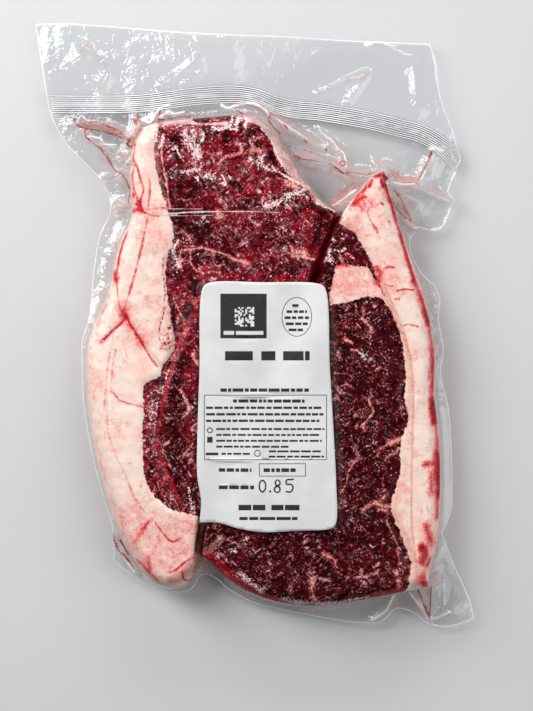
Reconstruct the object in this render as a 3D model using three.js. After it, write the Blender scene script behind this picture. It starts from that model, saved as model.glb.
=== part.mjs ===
// A clear vacuum pack that holds two raw strip steaks, laid head to tail, with a paper label stuck on top.
// The pack is one solid out to the film, and the label is a second one. Sizes are millimetres.
// x runs across the pack, y along it towards the pouch's open end, and z up from the table it lies on.
import * as THREE from "three";

const STEAK_HEIGHT = 28;
const SIDE_BULGE_HEIGHT = 12;
const SIDE_BULGE_LIP = 1.2;
const TOP_ROUNDING = 8;
const JOIN_ROUNDING = 1.3;
const JOIN_REACH = 9;
const FOOT_ROUNDING = 7;
const MARGIN_HEIGHT = 7;
const MARGIN_THICKNESS = 1;
const FILM_DRAPE = 2.4;
const FAT_STEP = 0.7;
const GAP_BRIDGE_DEPTH = 1.6;
const GAP_BRIDGE_SLOPE = 1.5;
const FOLD_WIDTH = 3.2;
const SEAL_WIDTH = 9;
const SEAL_RIBS = 9;
const RIB_HEIGHT = 0.35;
const LABEL_THICKNESS = 0.4;
const LABEL_GAP = 0.3;
const LABEL_BLEND = 4;
const LABEL_DIP = 1.4;
const LABEL_DIP_WIDTH = 9;

// Outlines, seen from above. A point with a third value of 1 is a sharp corner, and the rest are smooth.
const POUCH = [
  [-107, 147, 1], [-85, 146.5], [-21.5, 141], [22, 140], [85.5, 137, 1], [88, 129], [90.5, 110.5],
  [97, 93], [100.5, 80.5, 1], [97.5, 73], [94, 65, 1], [97, 60.5, 1], [94.5, 53], [90.5, 46.5], [85, 46],
  [79.5, 47.5, 1], [75.5, 41], [76, 35], [82.5, 24], [88, 19], [90.5, 12], [89.5, 4], [92, -12],
  [90.5, -23], [94.2, -40], [96, -76], [95.5, -91], [91, -101, 1], [98.5, -119.5], [104.5, -133],
  [107, -143, 1], [100.5, -145.5], [93, -147], [85, -145.5], [75.5, -139], [68, -138], [63, -143.5],
  [53, -145], [28.5, -141.5], [8.5, -137.5], [-0.5, -135], [-13, -128], [-20, -122], [-25.5, -121],
  [-30.5, -128], [-40, -129.5], [-55.5, -124], [-68.5, -114.5, 1], [-68.5, -100], [-74.5, -79],
  [-80, -56], [-83, -36], [-83.8, -8, 1], [-80.5, 3.5], [-78, 28], [-75, 44.5], [-70, 54.5], [-71, 63],
  [-74.5, 70.5, 1], [-92, 89], [-99, 102], [-102.5, 120],
];
const LEFT_STEAK = [
  [-58.5, 88], [-54.5, 95.5, 1], [-47, 97.7], [-22.5, 100.7], [-9, 101.7], [-1, 101.2], [5, 98],
  [10.5, 92], [15, 85], [19.5, 79], [23.5, 72], [27.5, 67], [32, 61], [36, 57.8], [40.3, 54.3, 1],
  [34.9, 41], [29.3, 26], [17, 2.5], [-4, -38.5], [-21, -79.5], [-27, -102], [-28.5, -118],
  [-32.5, -125], [-41, -127], [-50.5, -123], [-61.5, -108], [-70.5, -84.5], [-78, -55], [-80.8, -28],
  [-80, -7.5], [-70.5, 16], [-66.5, 35], [-59.5, 54], [-60.3, 70],
];
const RIGHT_STEAK = [
  [57.5, 73], [63, 74.5, 1], [72, 43.5], [83.5, 9], [87.5, -14], [87.3, -32], [90, -58], [90, -87],
  [88, -106], [84.8, -118], [84.5, -126.5, 1], [60.5, -131.5], [30, -136], [5.5, -132.5],
  [-12.5, -123.5], [-19.5, -117], [-26, -110.5, 1], [-24.3, -98], [-13.5, -67.5], [6.5, -22.5],
  [25, 15.5], [32.9, 33], [37, 44], [41.9, 53], [50, 64.5],
];
const LABEL = [
  [-24.6, 17], [-22.2, 19.6], [4, 20], [31.6, 19.1], [34, 16.8], [36, -20], [38, -55], [39, -75],
  [39, -94.4], [37.2, -96.8], [20, -98], [4, -98.7], [-8, -96.8], [-17, -94.3], [-26, -94.2, 1],
  [-25.2, -84], [-27, -72], [-27, -55], [-26, -23],
];

// Where the lean meets the fat cap, from the open end down, on each steak.
const LEFT_FAT_LINE = [
  [-46.5, 97], [-47.5, 82.5], [-46, 70.5], [-40.5, 53], [-38, 42], [-41.5, 31], [-42, 20], [-39.5, 3],
  [-38.5, -9], [-45, -22.5], [-52.5, -29], [-52.5, -39.5], [-53, -58], [-52, -72], [-48.5, -80],
  [-40, -87.5], [-29.5, -90.5], [-23, -92],
];
const RIGHT_FAT_LINE = [
  [38.5, 49.5], [41.2, 48], [44.4, 46], [48, 43.6], [50, 40.6], [52.3, 36], [57.5, 25.5], [60, 14],
  [65.5, 5.5], [70.5, -9], [72.2, -24], [71.5, -35], [73.5, -44], [69.5, -57], [69.5, -70], [65, -87.5], [69.5, -99], [74.5, -114],
  [72.5, -128.5],
];

// Seams pressed into the meat and the fat: points, width and depth.
const SEAMS = [
  {
    path: [
      [-26, 20], [-28.5, 11], [-33, 1], [-37, -9], [-40.5, -20], [-44, -31], [-45.7, -42], [-45.5, -53],
      [-43.5, -64], [-39.5, -75], [-34.5, -86],
    ],
    width: 4,
    depth: 1.3,
  },
  { path: [[-69, 24], [-65, 4], [-62.5, 3], [-52, -12], [-44, -21]], width: 2.4, depth: 0.9 },
  { path: [[-62.5, 3], [-67, -4], [-72.5, -8.5]], width: 2.4, depth: 0.8 },
  {
    path: [[57.5, 20.5], [64, 11], [71, -2], [74.5, -15], [75.5, -40], [75, -80], [76, -105]],
    width: 2,
    depth: 0.5,
  },
];

// Ridges where the film is pulled tight between the meat and the margin: x, y and height along each.
const FOLDS = [
  [[-54, 95, 22], [-60, 88, 17], [-63, 86.5, 14], [-78, 97.5, 11], [-89.5, 99.5, 8.5]],
  [[-60, 75, 21], [-66, 73, 14], [-75, 83, 11.5], [-83, 92, 10.5], [-89.5, 99.5, 8.5]],
  [[-66, 73, 13], [-74, 69.5, 8]],
  [[4, 104, 11], [10, 99.5, 13.5], [22, 92, 13.5], [36.5, 85, 11.5], [44, 83.5, 8]],
  [[21, 79, 22], [37, 77.5, 17], [46, 73, 18], [55, 70, 23]],
  [[63, 74, 23], [72, 69, 17], [78.5, 68, 14], [82, 74, 12], [87, 85, 9]],
  [[72, 69, 16], [80, 67.5, 14], [95.5, 60, 9]],
  [[69, 59, 20], [75.5, 49, 15], [80.5, 47, 10]],
  [[86, -126, 18], [85, -144, 6]],
  [[75, -130, 16], [84.5, -143.5, 6]],
  [[-56, -118, 18], [-61, -122, 8]],
  [[-28.5, -113, 19], [-29, -124, 8]],
  [[-60, 57, 21], [-69, 56, 9]],
];
const FILM_CREASE = [[-57, 55.3], [-50, 54.2], [-40, 53], [-1, 53.5], [12, 53.2], [30, 50.5]];

// The line along which the two steaks touch.
const JOIN = [
  [41.2, 55], [35.4, 41], [29.5, 26], [24.4, 15.5], [11.8, -9.5], [-2.3, -38.5], [-19.2, -79.5],
  [-25.5, -102], [-27, -113],
];

// The heat seal's middle line, which bends with the film.
const SEAL = [
  [-101, 107.6], [-80, 107.4], [-60, 107.4], [-50, 108.1], [-40, 109.4], [-30, 110.8], [-20, 111.6],
  [-10, 112], [0, 110.7], [10, 107], [20, 104.9], [30, 104], [40, 102.4], [50, 100.6], [60, 98.4],
  [70, 95.7], [80, 93.2], [88, 89.2], [93.5, 85], [98.5, 79.5],
];

const OUTLINE_STEP = 3.6;
const EDGE_STEP = 4;
const RIB_STEP = 4.6;
const SEAL_END_GAP = 2.6;
const MEAT_GRID = 6.4;
const FOOT_STEP = 5.6;
const UNDERSIDE_GRID = 15;
const LABEL_GRID = 7;

const clamp = (value, low, high) => Math.min(high, Math.max(low, value));
const mix = (a, b, share) => a + (b - a) * share;
const ease = (value) => value * value * (3 - 2 * value);

// A smooth open curve through points, as steps of about the same length. Points may carry a height.
function smoothPath(points, step) {
  const curve = new THREE.CatmullRomCurve3(points.map(([x, y, z = 0]) => new THREE.Vector3(x, y, z)));
  const count = Math.max(1, Math.round(curve.getLength() / step));
  return curve.getSpacedPoints(count).map((p) => [p.x, p.y, p.z]);
}

// A closed outline through points, counterclockwise, which keeps the sharp corners sharp.
function smoothLoop(points, step) {
  const first = points.findIndex((p) => p[2] === 1);
  const turned = first < 0 ? points : [...points.slice(first), ...points.slice(0, first)];
  const loop = [];
  let stretch = [turned[0]];
  for (const point of [...turned.slice(1), turned[0]]) {
    stretch.push(point);
    if (point[2] === 1 || point === turned[0]) {
      loop.push(...smoothPath(stretch.map(([x, y]) => [x, y]), step).slice(0, -1));
      stretch = [point];
    }
  }
  const flat = loop.map(([x, y]) => new THREE.Vector2(x, y));
  return THREE.ShapeUtils.isClockWise(flat) ? loop.reverse() : loop;
}

// Distance from a point to a line of points, with the height of the line there.
function nearestOn(path, x, y, closed = false) {
  let best = { distance: Infinity, height: 0 };
  for (let i = closed ? 0 : 1; i < path.length; i++) {
    const [ax, ay, az] = path[(i + path.length - 1) % path.length];
    const [bx, by, bz] = path[i];
    const length2 = (bx - ax) ** 2 + (by - ay) ** 2;
    const share = clamp(((x - ax) * (bx - ax) + (y - ay) * (by - ay)) / length2, 0, 1);
    const distance = Math.hypot(x - mix(ax, bx, share), y - mix(ay, by, share));
    if (distance < best.distance) best = { distance, height: mix(az, bz, share) };
  }
  return best;
}

function isInside(loop, x, y) {
  let inside = false;
  for (let i = 0, j = loop.length - 1; i < loop.length; j = i++) {
    const [ax, ay] = loop[j];
    const [bx, by] = loop[i];
    if (ay > y !== by > y && x < ax + ((bx - ax) * (y - ay)) / (by - ay)) inside = !inside;
  }
  return inside;
}

// Positive inside the outline and negative outside it.
function depthInside(loop, x, y) {
  const { distance } = nearestOn(loop, x, y, true);
  return isInside(loop, x, y) ? distance : -distance;
}

// The outline moved inwards by an offset, or outwards where it is negative, as points about a step apart.
function contour(loop, offset) {
  const moved = loop.map(([x, y], i) => {
    const [px, py] = loop[(i + loop.length - 1) % loop.length];
    const [nx, ny] = loop[(i + 1) % loop.length];
    const length = Math.hypot(nx - px, ny - py);
    return [x - ((ny - py) / length) * offset, y + ((nx - px) / length) * offset];
  });
  return moved.filter(([x, y]) => Math.abs(depthInside(loop, x, y) - offset) < 0.4);
}

// Both sides of a line of points, and the line itself if asked for.
function flanks(path, ...offsets) {
  return offsets.flatMap((offset) =>
    path.map(([x, y], i) => {
      const [px, py] = path[Math.max(0, i - 1)];
      const [nx, ny] = path[Math.min(path.length - 1, i + 1)];
      const length = Math.hypot(nx - px, ny - py);
      return [x - ((ny - py) / length) * offset, y + ((nx - px) / length) * offset];
    }),
  );
}

// Staggered rows of points over the whole pack.
function grid(step) {
  const points = [];
  for (let row = 0, y = -150; y < 150; row++, y += step * 0.87) {
    for (let x = -110 + (row % 2) * step * 0.5; x < 110; x += step) points.push([x, y]);
  }
  return points;
}

const pouch = smoothLoop(POUCH, OUTLINE_STEP);
const steaks = [smoothLoop(LEFT_STEAK, EDGE_STEP), smoothLoop(RIGHT_STEAK, EDGE_STEP)];
const feet = [smoothLoop(LEFT_STEAK, FOOT_STEP), smoothLoop(RIGHT_STEAK, FOOT_STEP)];
const labelEdge = smoothLoop(LABEL, OUTLINE_STEP);
const fatLines = [smoothPath(LEFT_FAT_LINE, EDGE_STEP), smoothPath(RIGHT_FAT_LINE, EDGE_STEP)];
const seams = SEAMS.map(({ path, ...size }) => ({ path: smoothPath(path, EDGE_STEP), ...size }));
const folds = FOLDS.map((path) => smoothPath(path, EDGE_STEP));
const filmCrease = smoothPath(FILM_CREASE, EDGE_STEP);
const seal = smoothPath(SEAL, RIB_STEP);
const join = smoothPath(JOIN, EDGE_STEP);

// The fat lies left of the left steak's line, and right of the right one's.
function fatDepth(x, y, side) {
  const line = fatLines[side];
  const { distance } = nearestOn(line, x, y);
  let at = line.length - 1;
  while (at > 0 && line[at][1] < y) at--;
  const next = line[Math.min(at + 1, line.length - 1)];
  const share = clamp((line[at][1] - y) / (line[at][1] - next[1] || 1), 0, 1);
  const lineX = mix(line[at][0], next[0], share);
  return (side === 0) === x < lineX ? distance : -distance;
}

// The height of the film's margin, which waves gently and droops at the pouch's corners.
function marginHeight(x, y) {
  const wave = 1.6 * Math.sin(x / 27 + 0.6) * Math.cos(y / 38 - 0.4) + 1.1 * Math.sin(x / 15 - y / 33);
  const open = ease(clamp((y - 112) / 34, 0, 1));
  const curl = open * (3.2 * Math.cos(x / 34 + 0.5) + 0.8);
  const droop = 2.6 * ease(clamp((Math.hypot(x / 1.1, y * 0.78) - 96) / 30, 0, 1));
  return MARGIN_HEIGHT + wave + curl - droop;
}

// The broad top of the meat under the film.
function crown(x, y) {
  const sag = 0.7 * Math.sin(x / 26 + 0.9) * Math.cos(y / 37 + 0.3);
  return STEAK_HEIGHT - 1 + sag + 0.4 * Math.sin(y / 17 + x / 40);
}

function labelBed(x, y) {
  const { distance } = nearestOn(join, x, y);
  return crown(x, y) - LABEL_DIP * Math.exp(-((distance / LABEL_DIP_WIDTH) ** 2));
}

function reliefAt(x, y, side) {
  const fat = fatDepth(x, y, side);
  let relief = FAT_STEP * (ease(clamp(fat / 2.4 + 0.5, 0, 1)) - 1);
  relief -= 0.5 * Math.exp(-((fat / 1.6) ** 2));
  for (const { path, width, depth } of seams) {
    relief -= depth * Math.exp(-((nearestOn(path, x, y).distance / (width / 2)) ** 2));
  }
  return relief + 0.3 * Math.sin(x / 3.1) * Math.sin(y / 4.3 + x / 9);
}

// The steaks' top edges are broadly rounded, but tighter where the two press together.
function steakTop(x, y, side, depth, margin) {
  if (depth < 0) return margin + (SIDE_BULGE_HEIGHT - margin) * Math.exp(depth / FILM_DRAPE);
  const pressed = Math.exp(-((nearestOn(join, x, y).distance / JOIN_REACH) ** 2));
  const radius = mix(TOP_ROUNDING, JOIN_ROUNDING, pressed);
  const rounding = Math.sqrt(1 - (1 - clamp(depth / radius, 0, 1)) ** 2);
  const top = crown(x, y) + reliefAt(x, y, side);
  return mix(SIDE_BULGE_HEIGHT, top, rounding);
}

function filmTop(x, y) {
  const margin = marginHeight(x, y) + MARGIN_THICKNESS / 2;
  const depths = steaks.map((loop) => depthInside(loop, x, y));
  let height = Math.max(...depths.map((depth, side) => steakTop(x, y, side, depth, margin)));
  if (Math.max(...depths) < 4) {
    const gap = depths.reduce((sum, depth) => sum + Math.max(0, -depth), 0);
    height = Math.max(height, crown(x, y) - GAP_BRIDGE_DEPTH - GAP_BRIDGE_SLOPE * gap);
  }
  for (const fold of folds) {
    const { distance, height: ridge } = nearestOn(fold, x, y);
    height = Math.max(height, margin + (ridge - margin) * Math.exp(-distance / FOLD_WIDTH));
  }
  height += Math.max(0, 0.9 - nearestOn(filmCrease, x, y).distance * 0.5);
  const underLabel = ease(clamp(depthInside(labelEdge, x, y) / LABEL_BLEND + 1, 0, 1));
  return mix(height, labelBed(x, y), underLabel);
}

function filmUnderside(x, y) {
  const margin = marginHeight(x, y) - MARGIN_THICKNESS / 2;
  const lip = SIDE_BULGE_HEIGHT - SIDE_BULGE_LIP;
  const depth = Math.max(...steaks.map((loop) => depthInside(loop, x, y)));
  if (depth < 0) return margin + (lip - margin) * Math.exp(depth / FILM_DRAPE);
  return lip * (1 - Math.sqrt(1 - (1 - clamp(depth / FOOT_ROUNDING, 0, 1)) ** 2));
}

// Keeps the points inside the outline that have room, in the order given. Each group has its own room.
function gather(loop, groups) {
  const kept = loop.map(([x, y]) => [x, y]);
  const edgeRoom = OUTLINE_STEP * 0.55;
  for (const { points, room } of groups) {
    for (const [x, y] of points) {
      const crowded = kept.some(([kx, ky], i) => {
        return Math.hypot(kx - x, ky - y) < (i < loop.length ? Math.max(room, edgeRoom) : room);
      });
      if (!crowded && depthInside(loop, x, y) > edgeRoom) kept.push([x, y]);
    }
  }
  return kept;
}

// Delaunay triangles of points that lie inside an outline, by adding one point at a time.
function triangulate(points, loop) {
  const far = 1e5;
  const all = [...points, [-far, -far], [far, -far], [0, far]];
  const circled = (a, b, c) => {
    const [ax, ay] = all[a];
    const [bx, by] = [all[b][0] - ax, all[b][1] - ay];
    const [cx, cy] = [all[c][0] - ax, all[c][1] - ay];
    const twice = 2 * (bx * cy - by * cx);
    const ux = (cy * (bx * bx + by * by) - by * (cx * cx + cy * cy)) / twice;
    const uy = (bx * (cx * cx + cy * cy) - cx * (bx * bx + by * by)) / twice;
    return { corners: [a, b, c], x: ax + ux, y: ay + uy, radius2: ux * ux + uy * uy };
  };
  let triangles = [circled(points.length, points.length + 1, points.length + 2)];
  points.forEach(([x, y], index) => {
    const edges = new Map();
    const kept = [];
    for (const triangle of triangles) {
      if ((x - triangle.x) ** 2 + (y - triangle.y) ** 2 >= triangle.radius2) {
        kept.push(triangle);
        continue;
      }
      const [a, b, c] = triangle.corners;
      for (const [from, to] of [[a, b], [b, c], [c, a]]) {
        if (!edges.delete(`${to} ${from}`)) edges.set(`${from} ${to}`, [from, to]);
      }
    }
    for (const [from, to] of edges.values()) kept.push(circled(from, to, index));
    triangles = kept;
  });
  return triangles
    .map((triangle) => triangle.corners)
    .filter((corners) => corners.every((corner) => corner < points.length))
    .filter((corners) => {
      const middle = (axis) => corners.reduce((sum, corner) => sum + points[corner][axis] / 3, 0);
      return isInside(loop, middle(0), middle(1));
    });
}

// A closed skin of two faces that share one outline: heights come from a function for each face.
function closedSkin(loop, topPoints, topAt, underPoints, underAt, colourAt) {
  const top = topPoints.map(([x, y]) => [x, y, topAt(x, y)]);
  const under = underPoints.map(([x, y]) => [x, y, underAt(x, y)]);
  const below = (index) => index + top.length;
  const faces = triangulate(topPoints, loop);
  for (const [a, b, c] of triangulate(underPoints, loop)) faces.push([below(a), below(c), below(b)]);
  loop.forEach((_, i) => {
    const next = (i + 1) % loop.length;
    faces.push([below(i), below(next), next], [below(i), next, i]);
  });
  const corners = [...top, ...under];
  const geometry = new THREE.BufferGeometry();
  geometry.setAttribute("position", new THREE.Float32BufferAttribute(corners.flat(), 3));
  if (colourAt) {
    const colours = corners.flatMap(([x, y]) => colourAt(x, y).toArray());
    geometry.setAttribute("color", new THREE.Float32BufferAttribute(colours, 3));
  }
  geometry.setIndex(faces.flat());
  geometry.computeVertexNormals();
  return geometry;
}

// Crest and valley lines of the heat seal's ribs, which stop just short of the pouch's side edges.
function sealRows() {
  const pitch = SEAL_WIDTH / SEAL_RIBS / 2;
  const rows = [];
  for (let k = -SEAL_RIBS; k <= SEAL_RIBS; k++) {
    const crest = (k + SEAL_RIBS) % 2 === 1;
    flanks(seal, k * pitch).forEach((point) => rows.push([...point, crest]));
  }
  return rows.filter(([x, y]) => depthInside(pouch, x, y) > SEAL_END_GAP);
}

const MEAT = new THREE.Color(0x6a1420);
const FAT = new THREE.Color(0xe6c3b1);
const FILM = new THREE.Color(0xb9bec0);
const PAPER = new THREE.Color(0xe4e4e2);

function packColour(x, y) {
  const depths = steaks.map((loop) => depthInside(loop, x, y));
  const side = depths[0] > depths[1] ? 0 : 1;
  if (depths[side] < 0) return FILM;
  return fatDepth(x, y, side) > 0 ? FAT : MEAT;
}

function makePack() {
  const rows = sealRows();
  const crests = new Set(rows.filter((row) => row[2]).map(([x, y]) => `${x} ${y}`));
  const topAt = (x, y) => filmTop(x, y) + (crests.has(`${x} ${y}`) ? RIB_HEIGHT : 0);
  const edges = steaks.flatMap((loop) => [0, 2.2, 5, 9, -2.6].flatMap((offset) => contour(loop, offset)));
  const creases = [...folds, filmCrease].flatMap((fold) => flanks(fold, 0, 2.2, -2.2, 5.5, -5.5));
  const topPoints = gather(pouch, [
    { points: rows, room: 0.35 },
    { points: flanks(join, 0, 2.4, -2.4), room: 1.6 },
    { points: edges, room: 1.9 },
    { points: contour(labelEdge, 0.8), room: 2.2 },
    { points: creases, room: 2 },
    { points: fatLines.flatMap((line) => flanks(line, 1.3, -1.3)), room: 2.2 },
    { points: seams.flatMap(({ path }) => flanks(path, 0, 2.4, -2.4)), room: 2 },
    { points: grid(MEAT_GRID), room: 4 },
  ]);
  const footEdges = feet.flatMap((loop) => [0, 1, 3.2, 7.6, -3].flatMap((offset) => contour(loop, offset)));
  const underPoints = gather(pouch, [
    { points: footEdges, room: 0.9 },
    { points: grid(UNDERSIDE_GRID), room: 8 },
  ]);
  const geometry = closedSkin(pouch, topPoints, topAt, underPoints, filmUnderside, packColour);
  const material = new THREE.MeshStandardMaterial({ vertexColors: true, roughness: 0.25, metalness: 0 });
  const mesh = new THREE.Mesh(geometry, material);
  mesh.name = "vacuum_pack";
  return mesh;
}

function makeLabel() {
  const points = gather(labelEdge, [{ points: grid(LABEL_GRID), room: 4 }]);
  const underAt = (x, y) => labelBed(x, y) + LABEL_GAP;
  const topAt = (x, y) => underAt(x, y) + LABEL_THICKNESS;
  const geometry = closedSkin(labelEdge, points, topAt, points, underAt);
  const material = new THREE.MeshStandardMaterial({ color: PAPER, roughness: 0.6, metalness: 0 });
  const mesh = new THREE.Mesh(geometry, material);
  mesh.name = "label";
  return mesh;
}

const pack = new THREE.Group();
pack.add(makePack(), makeLabel());

export default pack;
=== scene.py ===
import math

import bpy
import numpy as np
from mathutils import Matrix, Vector, noise
from mathutils.geometry import delaunay_2d_cdt


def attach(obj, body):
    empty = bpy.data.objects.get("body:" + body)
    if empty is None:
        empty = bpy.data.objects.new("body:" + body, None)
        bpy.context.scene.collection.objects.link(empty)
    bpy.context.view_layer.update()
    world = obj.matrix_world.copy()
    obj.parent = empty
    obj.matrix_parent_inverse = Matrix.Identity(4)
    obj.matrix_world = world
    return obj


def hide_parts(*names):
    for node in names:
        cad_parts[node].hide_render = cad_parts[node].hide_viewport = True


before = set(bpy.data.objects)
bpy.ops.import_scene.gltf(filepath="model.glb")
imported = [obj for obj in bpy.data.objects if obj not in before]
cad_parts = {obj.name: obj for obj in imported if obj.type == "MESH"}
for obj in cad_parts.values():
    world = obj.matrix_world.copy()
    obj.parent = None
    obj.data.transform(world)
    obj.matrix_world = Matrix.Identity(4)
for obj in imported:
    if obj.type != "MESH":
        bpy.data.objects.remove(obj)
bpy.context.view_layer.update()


# The two steaks. Each is a thick slice of raw strip loin: dark lean meat with a cap of cream fat on its
# outer side. They lie head to tail and touch along a slanting join, and the tight film has rounded their
# edges. Lengths are millimetres until a mesh is made. A third value of 1 marks an outline's sharp corner.
STEAK_HEIGHT = 28.0
SWELL = 1.0
SIDE_HEIGHT = 12.0
SIDE_LIP = 1.2
TOP_ROUNDING = 8.0
JOIN_ROUNDING = 1.3
JOIN_REACH = 9.0
FOOT_ROUNDING = 7.0
FILM_GAP = 0.3
LEAN_DROP = 0.7
LEAN_STEP = 2.4
FAT_GROOVE = 0.5
FAT_GROOVE_WIDTH = 1.6
PACK_HALF_LENGTH = 150
PACK_HALF_WIDTH = 110
ROWS_APART = 0.87
RIM_CLEARANCE = 0.35
PATTERNS_APART = 7.3
LEFT_OUTLINE = [
    (-58.5, 88), (-54.5, 95.5, 1), (-47, 97.7), (-22.5, 100.7), (-9, 101.7), (-1, 101.2), (5, 98),
    (10.5, 92), (15, 85), (19.5, 79), (23.5, 72), (27.5, 67), (32, 61), (36, 57.8), (40.3, 54.3, 1),
    (34.9, 41), (29.3, 26), (17, 2.5), (-4, -38.5), (-21, -79.5), (-27, -102), (-28.5, -118), (-32.5, -125),
    (-41, -127), (-50.5, -123), (-61.5, -108), (-70.5, -84.5), (-78, -55), (-80.8, -28), (-80, -7.5),
    (-70.5, 16), (-66.5, 35), (-59.5, 54), (-60.3, 70),
]
RIGHT_OUTLINE = [
    (57.5, 73), (63, 74.5, 1), (72, 43.5), (83.5, 9), (87.5, -14), (87.3, -32), (90, -58), (90, -87),
    (88, -106), (84.8, -118), (84.5, -126.5, 1), (60.5, -131.5), (30, -136), (5.5, -132.5), (-12.5, -123.5),
    (-19.5, -117), (-26, -110.5, 1), (-24.3, -98), (-13.5, -67.5), (6.5, -22.5), (25, 15.5), (32.9, 33),
    (37, 44), (41.9, 53), (50, 64.5),
]
LEFT_FAT_LINE = [
    (-46.5, 97), (-47.5, 82.5), (-46, 70.5), (-40.5, 53), (-38, 42), (-41.5, 31), (-42, 20), (-39.5, 3),
    (-37.7, -10), (-41, -16), (-44, -21), (-45.3, -24.6), (-48.6, -26.8), (-52.3, -28.8), (-52.5, -39.5),
    (-53, -58), (-52, -72), (-48.5, -80), (-40, -87.5), (-29.5, -90.5), (-23, -92),
]
RIGHT_FAT_LINE = [
    (38.5, 49.5), (41.2, 48), (44.4, 46), (48, 43.6), (50, 40.6), (52.3, 36), (57.5, 25.5), (60, 14),
    (65.5, 5.5), (70.5, -9), (72.2, -24), (71.5, -35), (73.5, -44), (69.5, -57), (69.5, -70), (65, -87.5),
    (69.5, -99), (74.5, -114), (72.5, -128.5),
]
JOIN = [
    (41.2, 55), (35.4, 41), (29.5, 26), (24.4, 15.5), (11.8, -9.5), (-2.3, -38.5), (-19.2, -79.5),
    (-25.5, -102), (-27, -113),
]
GROOVES = [
    ([(-26, 20), (-28.5, 11), (-33, 1), (-37, -9), (-40.5, -20), (-44, -31), (-45.7, -42), (-45.5, -53),
      (-43.5, -64), (-39.5, -75), (-34.5, -86)], 4, 1.3),
    ([(-69, 24), (-65, 4), (-62.5, 3), (-52, -12), (-44, -21)], 2.4, 0.9),
    ([(-62.5, 3), (-67, -4), (-72.5, -8.5)], 2.4, 0.8),
    ([(57.5, 20.5), (64, 11), (71, -2), (74.5, -15), (75.5, -40), (75, -80), (76, -105)], 2, 0.5),
]


def smooth(points, step):
    """A smooth line through points, as pieces of about one step."""
    known = np.array(points, float)
    known = np.vstack([2 * known[0] - known[1], known, 2 * known[-1] - known[-2]])
    bits = []
    for a, b, c, d in zip(known, known[1:], known[2:], known[3:]):
        lengths = [max(np.linalg.norm(v), 1e-6) ** 0.5 for v in (b - a, c - b, d - c)]
        t0, t1, t2, t3 = np.cumsum([0, *lengths])
        t = np.linspace(t1, t2, 9)[:-1, None]
        ab = (a * (t1 - t) + b * (t - t0)) / (t1 - t0)
        bc = (b * (t2 - t) + c * (t - t1)) / (t2 - t1)
        cd = (c * (t3 - t) + d * (t - t2)) / (t3 - t2)
        abc = (ab * (t2 - t) + bc * (t - t0)) / (t2 - t0)
        bcd = (bc * (t3 - t) + cd * (t - t1)) / (t3 - t1)
        bits.append((abc * (t2 - t) + bcd * (t - t1)) / (t2 - t1))
    line = np.vstack([*bits, known[-2:-1]])
    run = np.concatenate([[0], np.cumsum(np.hypot(*np.diff(line[:, :2], axis=0).T))])
    marks = np.linspace(0, run[-1], max(2, round(run[-1] / step) + 1))
    return np.stack([np.interp(marks, run, column) for column in line.T], axis=1)


def closed_line(points, step):
    """A closed outline, sharp only at its marked corners, that runs counterclockwise."""
    first = next(i for i, point in enumerate(points) if len(point) == 3)
    turned = [*points[first:], *points[: first + 1]]
    loop, stretch = [], turned[:1]
    for point in turned[1:]:
        stretch.append(point)
        if len(point) == 3:
            loop.append(smooth([p[:2] for p in stretch], step)[:-1])
            stretch = [point]
    loop = np.vstack(loop)
    x, y = loop.T
    return loop if np.sum(x * np.roll(y, -1) - y * np.roll(x, -1)) > 0 else loop[::-1]


def nearest(line, at, closed=False, reach=20.0):
    """How far each place is from a line, up to a reach, and the line's height where it is nearest."""
    order = np.argsort(at[:, 1])
    x, y = at[order, 0], at[order, 1]
    gap = np.full(len(at), reach)
    height = np.zeros(len(at))
    for a, b in zip(line, np.roll(line, -1, axis=0) if closed else line[1:]):
        low, high = np.searchsorted(y, (min(a[1], b[1]) - reach, max(a[1], b[1]) + reach))
        run = b[:2] - a[:2]
        east, north = x[low:high] - a[0], y[low:high] - a[1]
        share = np.clip((east * run[0] + north * run[1]) / (run @ run), 0, 1)
        away = np.hypot(east - share * run[0], north - share * run[1])
        closer = away < gap[low:high]
        gap[low:high][closer] = away[closer]
        if len(a) == 3:
            height[low:high][closer] = (a[2] + (b[2] - a[2]) * share)[closer]
    back = np.argsort(order)
    return gap[back], height[back]


def within(loop, at):
    """True for each place inside a closed outline."""
    order = np.argsort(at[:, 1])
    x, y = at[order, 0], at[order, 1]
    found = np.zeros(len(at), bool)
    for (ax, ay), (bx, by) in zip(loop, np.roll(loop, -1, axis=0)):
        low, high = np.searchsorted(y, (min(ay, by), max(ay, by)))
        if low < high:
            found[low:high] ^= x[low:high] < ax + (bx - ax) * (y[low:high] - ay) / (by - ay)
    return found[np.argsort(order)]


def depth_in(loop, at):
    """How far inside an outline each place is, or outside it where negative."""
    gap = nearest(loop, at, closed=True)[0]
    return np.where(within(loop, at), gap, -gap)


def beside(line, offset, closed=False):
    """A line moved to its left by an offset. A closed line keeps only what stays that far from it."""
    if closed:
        run = np.roll(line, -1, axis=0) - np.roll(line, 1, axis=0)
    else:
        run = np.gradient(line, axis=0)
    run = run[:, :2] / np.hypot(*run[:, :2].T)[:, None]
    moved = line[:, :2] + offset * np.stack([-run[:, 1], run[:, 0]], axis=1)
    if closed:
        moved = moved[np.abs(depth_in(line, moved) - offset) < 0.15 * abs(offset) + 0.05]
    return moved


def lattice(step):
    """Staggered rows of places over the whole pack."""
    rows = []
    for row, y in enumerate(np.arange(-PACK_HALF_LENGTH, PACK_HALF_LENGTH, step * ROWS_APART)):
        x = np.arange(-PACK_HALF_WIDTH, PACK_HALF_WIDTH, step) + (row % 2) * step / 2
        rows.append(np.stack([x, np.full(len(x), y)], axis=1))
    return np.vstack(rows)


def spread(groups, room):
    """Places from each group in turn, at most one in each small square."""
    places = np.vstack([group[:, :2] for group in groups])
    _, first = np.unique(np.floor(places / room).astype(int), axis=0, return_index=True)
    return places[np.sort(first)]


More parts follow.
